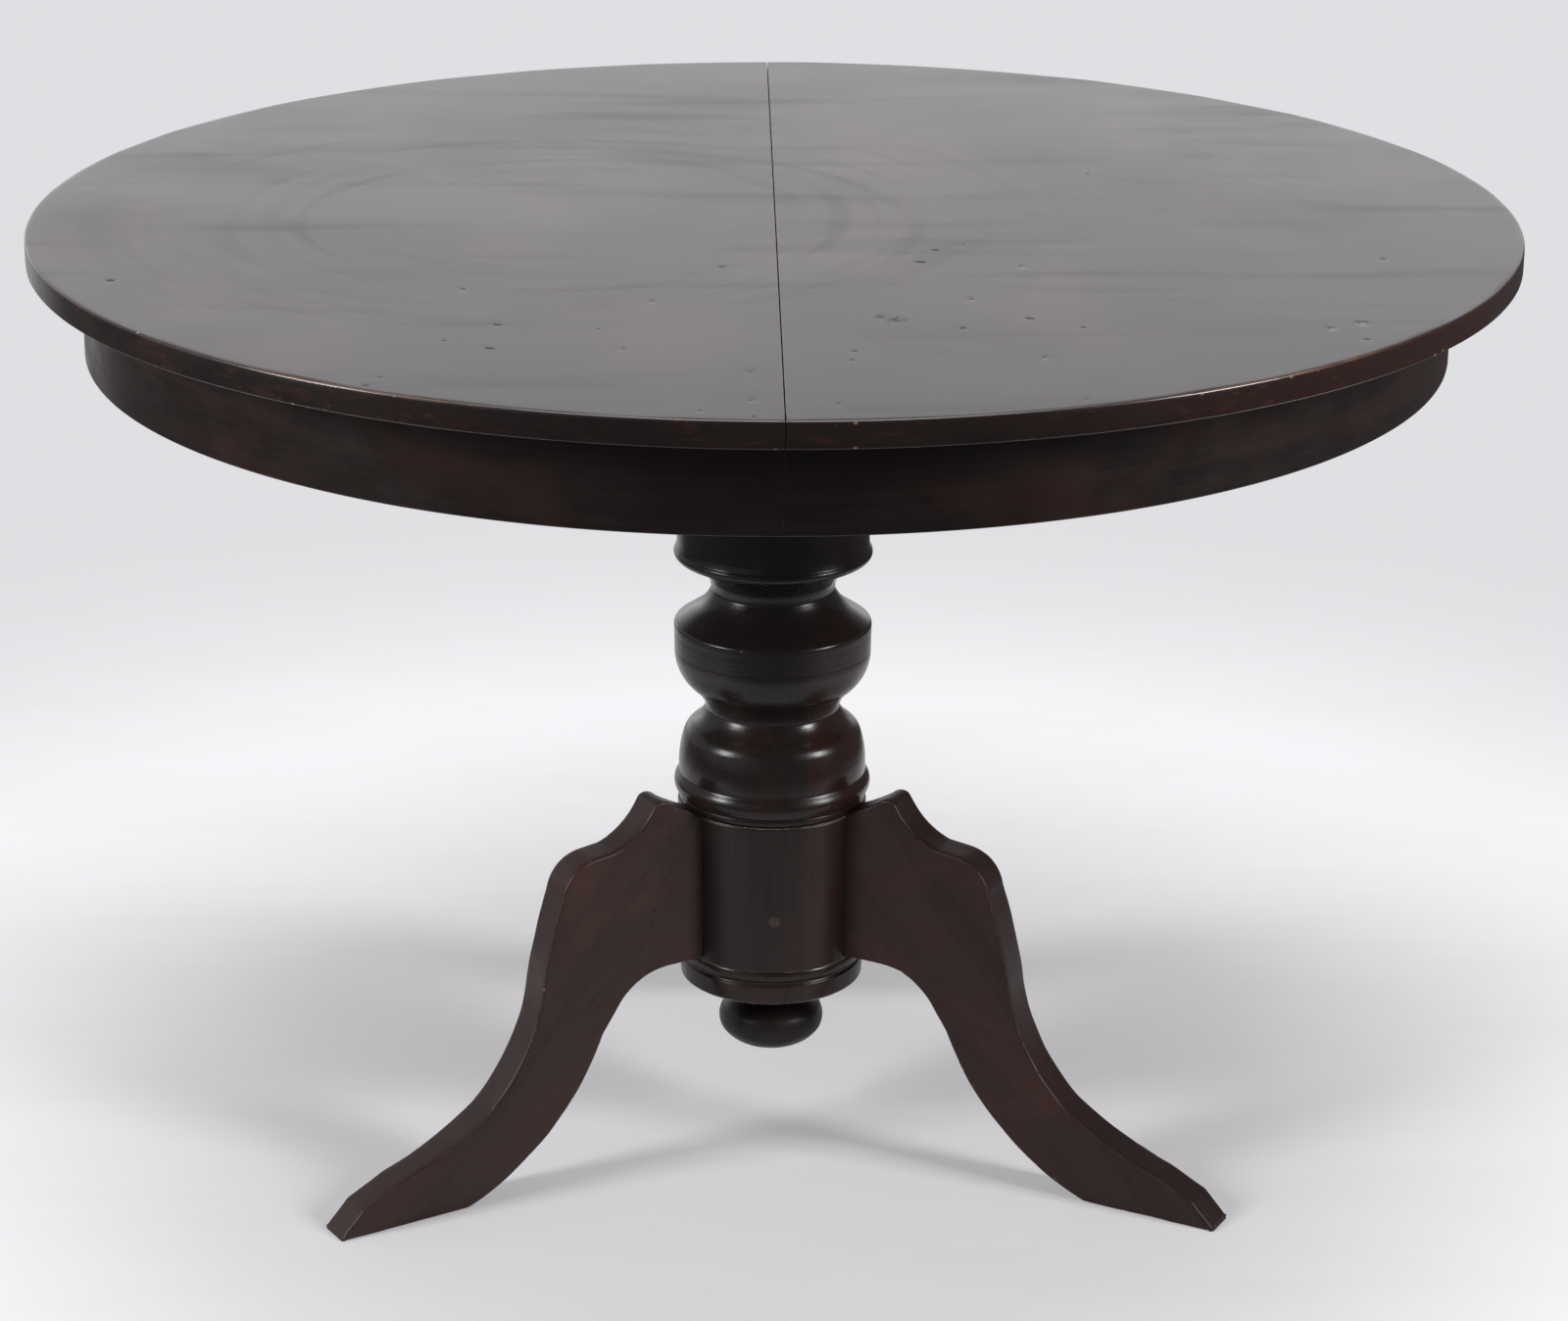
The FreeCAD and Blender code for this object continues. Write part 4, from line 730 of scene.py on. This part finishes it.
def sawn_leg(label, material):
    """A flat leg sawn to a double curve, every arris rubbed round by use."""
    outline = eased(trace(LEG_SHARES, LEG_REACH, 0.0, LEG_HEIGHT, LEG_STEP), 1)
    (head_x, head_z), (foot_x, foot_z) = outline[0], outline[-1]
    root_top, root_foot = TURNED_FOOT + 2.7, HUB_FOOT + 2.3
    fill = [(LEG_ROOT + (head_x - LEG_ROOT) * k / 9, root_top + (head_z - root_top) * (k / 9) ** 1.3)
            for k in range(9)]
    tail = [(foot_x + (LEG_ROOT - foot_x) * k / 9, foot_z + (root_foot - foot_z) * k / 9)
            for k in range(1, 10)]
    outline = fill + outline + tail
    count = len(outline)
    turn = math.radians(LEG_TURNS[label])
    cos, sin = math.cos(turn), math.sin(turn)
    seed = LEG_TURNS[label] * 0.37
    inward = []
    for index, (x, z) in enumerate(outline):
        bx, bz = outline[index - 1]
        ax, az = outline[(index + 1) % count]
        dx, dz = ax - bx, az - bz
        size = math.hypot(dx, dz) or 1.0
        inward.append((dz / size, -dx / size))
    flats, wear, sawn, rows = [], [], [], []

    def ring(depth_share, side_share, mark):
        """The outline set in by these shares of the local rounding."""
        row = []
        for index, (x, z) in enumerate(outline):
            rub = 2.0 + 1.1 * noise.noise(Vector((x * 0.045, z * 0.045, seed)))
            rub += 1.0 * max(0.0, noise.noise(Vector((x * 0.16, z * 0.16, seed + 7))) - 0.25)
            if x < LEG_ROOT + 0.5:
                rub = 0.2
            ix, iz = inward[index]
            depth = rub * depth_share
            side = LEG_HALF - rub * side_share
            row.append(len(flats))
            flats.append((x + ix * depth, side, z + iz * depth))
            wear.append(mark if x > LEG_ROOT + 3 else 0.0)
            sawn.append(1 - depth_share)
        return row

    arris_wear = (0.35, 0.75, 1.0, 0.95, 0.6, 0.3)
    for step, mark in enumerate(arris_wear):
        bend = math.pi / 2 * step / (len(arris_wear) - 1)
        rows.append(ring(1 - math.sin(bend), 1 - math.cos(bend), mark))
    mirrored = []
    for row in reversed(rows):
        copy = []
        for index in row:
            x, y, z = flats[index]
            copy.append(len(flats))
            flats.append((x, -y, z))
            wear.append(wear[index])
            sawn.append(sawn[index])
        mirrored.append(copy)
    middle = []
    for share in (0.5, 0.0, -0.5):
        row = []
        for x, z in outline:
            row.append(len(flats))
            flats.append((x, share * LEG_HALF, z))
            wear.append(0.04)
            sawn.append(1.0)
        middle.append(row)
    faces = bands(rows + middle + mirrored)

    def cap(row, y, up):
        """The flat side inside this rim."""
        rim = [flats[index] for index in row]
        flat = [Vector((x, z)) for x, _, z in rim]
        spacing = 7
        for column in range(int(LEG_REACH / spacing)):
            for line in range(int(LEG_HEIGHT / spacing)):
                x, z = (column + 0.5 * (line % 2)) * spacing, line * spacing
                gap = min(math.hypot(x - px, z - pz) for px, _, pz in rim[::2])
                if gap > 3.5:
                    flat.append(Vector((x, z)))
        result = delaunay_2d_cdt(flat, [], [list(range(len(rim)))], 1, 1e-4)
        base = len(flats)
        for place, origins in zip(result[0], result[3]):
            gap = 0.0
            if not origins or origins[0] >= len(rim):
                gap = min(math.hypot(place.x - px, place.y - pz) for px, _, pz in rim[::2])
            flats.append((place.x, y, place.y))
            wear.append(0.35 * max(0.0, 1 - gap / 7) if place.x > LEG_ROOT + 8 else 0.0)
            sawn.append(0.0)
        for face in result[2]:
            corners = [base + index for index in face]
            faces.append(corners[::-1] if up else corners)

    cap(rows[0], LEG_HALF, True)
    cap(mirrored[-1], -LEG_HALF, False)
    points = [(x * cos - y * sin, x * sin + y * cos, z) for x, y, z in flats]
    lean = math.radians(-48)
    upright = dict(zip(points, flats))

    def grain(p):
        x, y, z = upright[p]
        along = x * math.cos(lean) + z * math.sin(lean) + 900 * seed
        return (along, z * math.cos(lean) - x * math.sin(lean), y)

    return piece(label + "_sawn", points, faces, "pedestal", [label], material, grain,
                 {"wear": wear, "sawn": sawn}, 50)


def plugs(name, nodes, material):
    """Round wooden plugs over the leg screws, a little proud and domed, opposite each leg."""
    points, faces, wear = [], [], []
    sides = 28
    for label, height in PLUG_HEIGHTS.items():
        turn = math.radians(LEG_TURNS[label] + 180)
        rings = []
        for size, reach in ((1, -8.0), (1, -0.05), (0.93, 0.06), (0.6, 0.16), (0.03, 0.22)):
            rings.append(list(range(len(points), len(points) + sides)))
            for step in range(sides):
                way = 2 * math.pi * step / sides
                side, lift = size * PLUG_RADIUS * math.cos(way), size * PLUG_RADIUS * math.sin(way)
                out = math.sqrt(HUB_RADIUS ** 2 - side ** 2) + reach
                points.append((out * math.cos(turn) - side * math.sin(turn),
                               out * math.sin(turn) + side * math.cos(turn), height + lift))
                wear.append(0.3 if size == 0.93 else 0.0)
        faces += bands(rings)
        faces += [rings[0][::-1], rings[-1]]
    return piece(name, points, faces, "pedestal", nodes, material,
                 lambda p: (p[2], p[0] * 3, p[1] * 3), {"wear": wear})


def glue_bead(name, radius, height, seed, material):
    """Old glue squeezed out of a joint round the pedestal, uneven and broken by the legs."""
    points, faces = [], []
    sides, steps = 7, 110
    turns = sorted(LEG_TURNS.values())
    for start, end in zip(turns, [*turns[1:], turns[0] + 360]):
        rings = []
        for step in range(steps + 1):
            share = step / steps
            turn = math.radians(start + 10.6 + (end - start - 21.2) * share)
            around = Vector((math.cos(turn) * 3, math.sin(turn) * 3, seed))
            lump = max(0.0, noise.noise(around * 5) - 0.30)
            swell = 0.30 + 0.22 * noise.noise(around * 1.3) + 0.35 * lump
            swell += 0.5 * max(0.0, 1 - min(share, 1 - share) * 40)
            drift = 0.25 * noise.noise(around * 2.1 + Vector((5, 0, 0)))
            rings.append(list(range(len(points), len(points) + sides)))
            for k in range(sides):
                way = 2 * math.pi * k / sides
                reach = radius + max(0.06, swell) * math.cos(way)
                points.append((reach * math.cos(turn), reach * math.sin(turn),
                               height + drift + max(0.06, swell) * 1.2 * math.sin(way)))
        faces += bands(rings)
        faces += [rings[0][::-1], rings[-1]]
    return piece(name, points, faces, "pedestal", [], material, lambda p: p)


# The materials
TOP = polished_top("polished_top")
APRON = wood(
    "apron_wood", dark=(0.0092, 0.0068, 0.0068), mid=(0.0235, 0.0132, 0.0122),
    warm=(0.0300, 0.0134, 0.0104), worn=(0.055, 0.030, 0.023),
    gloss=0.36, wear=0.5, shine=0.34, relief=0.00001, speck=0.0)
TURNED = wood(
    "turned_wood", dark=(0.0102, 0.0082, 0.0080), mid=(0.0170, 0.0118, 0.0110),
    warm=(0.0215, 0.0120, 0.0106), worn=(0.075, 0.045, 0.033),
    gloss=0.23, wear=0.4, shine=0.30, relief=0.00001, boards=True, speck=0.015)
HUB = wood(
    "hub_wood", dark=(0.0115, 0.0079, 0.0078), mid=(0.0196, 0.0114, 0.0108),
    warm=(0.0248, 0.0117, 0.0102), worn=(0.075, 0.045, 0.033),
    gloss=0.34, wear=0.4, shine=0.30, relief=0.00001, boards=True, speck=0.015)
RING = wood(
    "ring_wood", dark=(0.0130, 0.0086, 0.0080), mid=(0.0250, 0.0130, 0.0110),
    warm=(0.0390, 0.0140, 0.0100), worn=(0.075, 0.045, 0.033),
    gloss=0.25, wear=0.4, shine=0.30, relief=0.00001, speck=0.015)
FINIAL = wood(
    "finial_wood", dark=(0.0095, 0.0075, 0.0075), mid=(0.0160, 0.0110, 0.0108),
    warm=(0.023, 0.0120, 0.0102), worn=(0.05, 0.034, 0.028),
    gloss=0.40, wear=0.5, shine=0.28, relief=0.00005)
LEG = wood(
    "leg_wood", dark=(0.019, 0.0090, 0.0075), mid=(0.037, 0.0158, 0.0118),
    warm=(0.054, 0.0190, 0.0122), worn=(0.10, 0.046, 0.030),
    gloss=0.40, wear=0.75, shine=0.36, relief=0.00008)
# Painted shade: the right leg takes a darker, duller copy of the leg wood, standing in for the weaker
# light on its face
SHADED_LEG = wood(
    "shaded_leg_wood", dark=(0.0160, 0.0074, 0.0070), mid=(0.0295, 0.0118, 0.0100),
    warm=(0.041, 0.0140, 0.0104), worn=(0.090, 0.042, 0.028),
    gloss=0.42, wear=0.75, shine=0.28, relief=0.00008)
SLIDE = plain_wood("slide_wood", "x", (0.42, 0.26, 0.14), (0.27, 0.15, 0.078))
INNER_WOOD = plain_wood("inner_wood", "y", (0.36, 0.23, 0.13), (0.22, 0.125, 0.067))
TENON = plain_wood("tenon_wood", "z", (0.34, 0.21, 0.12), (0.20, 0.115, 0.062))
DOWEL = plain_wood("dowel_wood", "x", (0.50, 0.36, 0.21), (0.36, 0.23, 0.125))
SCREW = worn_metal("screw_steel", (0.36, 0.35, 0.33), (0.12, 0.085, 0.06), 0.32)
LATCH = worn_metal("latch_steel", (0.42, 0.40, 0.36), (0.16, 0.12, 0.08), 0.3)

# The visible pieces
half_leaf("left", "top_left", ["leaf_left"], TOP)
half_leaf("right", "top_right", ["leaf_right"], TOP)
half_apron("left", "apron_skirt_left", ["apron_left"], APRON)
half_apron("right", "apron_skirt_right", ["apron_right"], APRON)

column_profile = [(0.0, RING_FOOT + 2), (CORE_RADIUS, RING_FOOT + 2), (CORE_RADIUS, TURNED_FOOT),
                  (2 * CORE_RADIUS, TURNED_FOOT)]
column_outline = trace(COLUMN_SHARES, COLUMN_RADIUS, TURNED_FOOT, TURNED_HEIGHT, TURNED_STEP)
column_profile += eased(column_outline, 2)
neck_radius = column_profile[-1][0]
column_profile += [(neck_radius, height) for height in (520, 560, 600, 640, HEAD_FOOT - 1.2)]
column_profile += [(neck_radius - 1.2, HEAD_FOOT), (HEAD_TENON_RADIUS, HEAD_FOOT),
                   (HEAD_TENON_RADIUS, BEARER_FOOT), (0.0, BEARER_FOOT)]
column = turned("column_turned", column_profile, ["column"], TURNED, 1.7)
# The column's tenon in the head board was never stained
column.data.materials.append(TENON)
for face in column.data.polygons:
    if face.center.z > (HEAD_FOOT + 0.5) * MM:
        face.material_index = 1

hub_profile = [(BORE_RADIUS, HUB_FOOT), *((radius, HUB_FOOT + inset) for radius, inset in HUB_END)]
hub_profile += [(HUB_RADIUS, HUB_FOOT + 2 + HUB_STRAIGHT * k / 40) for k in range(41)]
hub_profile += [(radius, TURNED_FOOT - inset) for radius, inset in reversed(HUB_END)]
hub_profile += [(BORE_RADIUS, TURNED_FOOT), (BORE_RADIUS, HUB_FOOT)]
turned("hub_turned", hub_profile, ["hub"], HUB, 1.7)

ring_outline = trace(RING_SHARES, RING_RADIUS, RING_FOOT, RING_HEIGHT, TURNED_STEP)
ring_profile = [(BORE_RADIUS, RING_FOOT), *eased(ring_outline, 2), (BORE_RADIUS, HUB_FOOT),
                (BORE_RADIUS, RING_FOOT)]
turned("base_ring_turned", ring_profile, ["base_ring"], RING, 4.2)

finial_outline = trace(FINIAL_SHARES, FINIAL_RADIUS, FINIAL_FOOT, FINIAL_HEIGHT, TURNED_STEP)
finial_profile = [(0.0, FINIAL_FOOT), *eased(finial_outline, 2), (FINIAL_TENON_RADIUS, RING_FOOT),
                  (FINIAL_TENON_RADIUS, FINIAL_TENON_TOP), (0.0, FINIAL_TENON_TOP)]
turned("finial_turned", finial_profile, ["finial"], FINIAL, 6.6)

for leg_label in LEG_TURNS:
    sawn_leg(leg_label, SHADED_LEG if leg_label == "leg_right" else LEG)

PLUG = wood(
    "plug_wood", dark=(0.030, 0.020, 0.016), mid=(0.052, 0.034, 0.026),
    warm=(0.060, 0.036, 0.026), worn=(0.09, 0.06, 0.045),
    gloss=0.40, wear=0.4, shine=0.36, relief=0.00006)
plugs("screw_plugs_domed", ["screw_plugs"], PLUG)
GLUE = old_glue("old_glue")
glue_bead("glue_line_upper", HUB_RADIUS - 0.75, TURNED_FOOT + 0.1, 2.4, GLUE)
glue_bead("glue_line_lower", HUB_RADIUS - 1.5, HUB_FOOT - 0.1, 8.9, GLUE)

# The hidden pieces keep their CAD shapes and take these finishes
FINISHES = {
    "slide_wood": SLIDE, "inner_wood": INNER_WOOD, "dowel_wood": DOWEL,
    "screw_steel": SCREW, "latch_steel": LATCH,
}
for node_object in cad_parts.values():
    finish = node_object.data.materials[0].name.split(".")[0]
    if finish in FINISHES:
        node_object.data.materials[0] = FINISHES[finish]

# Floor, studio light and camera
FLOOR_RINGS = (0.0, 1.5, 4.0, 9.0, 26.0)
FLOOR_SIDES = 64
floor_mesh = bpy.data.meshes.new("floor")
floor_points, floor_rows = [], []
for ring_radius in FLOOR_RINGS:
    floor_rows.append(list(range(len(floor_points), len(floor_points) + FLOOR_SIDES)))
    for k in range(FLOOR_SIDES):
        turn = 2 * math.pi * k / FLOOR_SIDES
        floor_points.append((ring_radius * math.cos(turn), ring_radius * math.sin(turn), 0))
floor_mesh.from_pydata(floor_points, [], bands(floor_rows))
floor = bpy.data.objects.new("floor", floor_mesh)
bpy.context.scene.collection.objects.link(floor)

# The camera sees a pale floor that melts into the backdrop. Light and reflections find it dim in
# front of the table and at its sides
ground = Graph(bpy.data.materials.new("pale_floor"))
spread = ground.place()
east, north, _ = ground.parts(spread)
measure = ground.node("ShaderNodeVectorMath", operation="LENGTH")
ground.feed(measure.inputs[0], spread)
distance = measure.outputs["Value"]
fade = ground.span(distance, 0.6, 1.8)
azimuth = ground.math("ARCTAN2", east, north)
behind = ground.mul(ground.span(azimuth, -0.95, -0.60), ground.span(azimuth, 0.45, 0.20))
aside = ground.mul(ground.span(distance, 0.8, 1.5), ground.math("SUBTRACT", 1.0, behind))
front = ground.span(north, -0.3, -1.0)
seen = ground.node("ShaderNodeLightPath")
to_camera = seen.outputs["Is Camera Ray"]
direct = ground.math("MAXIMUM", ground.math("MAXIMUM", to_camera, seen.outputs["Is Glossy Ray"]),
                     seen.outputs["Is Transmission Ray"])
dim = ground.mul(ground.math("MAXIMUM", front, aside), ground.math("SUBTRACT", 1.0, to_camera))
matt = ground.node("ShaderNodeBsdfDiffuse")
scuffs = ground.span(ground.noise(spread, (3, 9, 1), 5, 0.7), 0.35, 0.75)
paper = ground.mix(scuffs, (0.80, 0.795, 0.815), (0.77, 0.765, 0.775))
ground.feed(matt.inputs["Color"], ground.mix(dim, paper, (0.115, 0.113, 0.118)))
glow = ground.node("ShaderNodeEmission")
ground.feed(glow.inputs["Color"], ground.mix(dim, (0.745, 0.74, 0.765), (0.08, 0.08, 0.083)))
both = ground.node("ShaderNodeMixShader")
share = ground.math("MAXIMUM", ground.mul(fade, direct), ground.mul(to_camera, 0.25))
ground.feed(both.inputs[0], share)
ground.feed(both.inputs[1], matt.outputs[0])
ground.feed(both.inputs[2], glow.outputs[0])
ground.feed(ground.output.inputs["Surface"], both.outputs[0])
floor_mesh.materials.append(ground.owner)

# The studio is dim but for a pale backdrop behind the table; the camera sees the backdrop all round
studio = Graph(bpy.data.worlds.new("studio"), "ShaderNodeOutputWorld")
bpy.context.scene.world = studio.owner
x, y, z = studio.parts(studio.place("Generated"))
heading = studio.math("ARCTAN2", x, y)
sector = studio.mul(studio.span(heading, -0.80, -0.50), studio.span(heading, 0.52, 0.28))
sheet = studio.mul(sector, studio.span(z, 0.50, 0.05))
room = studio.add(studio.span(y, -0.6, 0.5, 0.07, 0.12), studio.span(x, 0.0, -0.7, 0.0, 0.36))
seen_directly = studio.node("ShaderNodeLightPath").outputs["Is Camera Ray"]
level = studio.node("ShaderNodeMix", data_type="FLOAT")
studio.feed(level.inputs[0], seen_directly)
studio.feed(level.inputs[2], studio.add(room, studio.mul(sheet, 1.5)))
studio.feed(level.inputs[3], 1.0)
sky = studio.node("ShaderNodeBackground")
tint = studio.mix(seen_directly, (1.0, 0.985, 1.02), (0.76, 0.755, 0.785))
studio.feed(sky.inputs["Color"], tint)
studio.feed(sky.inputs["Strength"], level.outputs[0])
studio.feed(studio.output.inputs["Surface"], sky.outputs[0])


def soft_box(name, turn, distance, height, width, tall, power):
    """A soft lamp turned round the table from the camera's side, aimed at the column."""
    lamp = bpy.data.lights.new(name, "AREA")
    lamp.shape = "RECTANGLE"
    lamp.size, lamp.size_y, lamp.energy = width, tall, power
    item = bpy.data.objects.new(name, lamp)
    bpy.context.scene.collection.objects.link(item)
    way = math.radians(turn)
    spot = Vector((distance * math.sin(way), -distance * math.cos(way), height))
    aim = (Vector((0, 0, 0.45)) - spot).to_track_quat("-Z", "Y")
    item.matrix_world = Matrix.Translation(spot) @ aim.to_matrix().to_4x4()


soft_box("soft_box_left", -66, 3.0, 1.75, 0.8, 1.0, 66)
soft_box("soft_box_right", 64, 3.0, 1.75, 0.8, 1.0, 75)
soft_box("ceiling_box", 0, 0.0, 3.3, 2.2, 2.2, 92)

# The camera as fitted to the photo: angles in radians, place in metres, lens in millimetres
YAW, PITCH, ROLL = 0.0163, 0.3429, 0.0060
CAMERA_PLACE = (-0.0417, -3.0988, 1.4993)
SENSOR_WIDTH, FOCAL_LENGTH = 36.0, 97.13
ahead = Vector((math.sin(YAW) * math.cos(PITCH), math.cos(YAW) * math.cos(PITCH), -math.sin(PITCH)))
right = Vector((math.cos(YAW), -math.sin(YAW), 0))
above = right.cross(ahead)
rolled_right = right * math.cos(ROLL) + above * math.sin(ROLL)
rolled_above = above * math.cos(ROLL) - right * math.sin(ROLL)
lens = bpy.data.cameras.new("camera")
lens.sensor_width, lens.lens = SENSOR_WIDTH, FOCAL_LENGTH
camera = bpy.data.objects.new("camera", lens)
bpy.context.scene.collection.objects.link(camera)
facing = Matrix((rolled_right, rolled_above, -ahead)).transposed()
camera.matrix_world = Matrix.Translation(CAMERA_PLACE) @ facing.to_4x4()
bpy.context.scene.camera = camera
bpy.context.scene.view_settings.view_transform = "Standard"
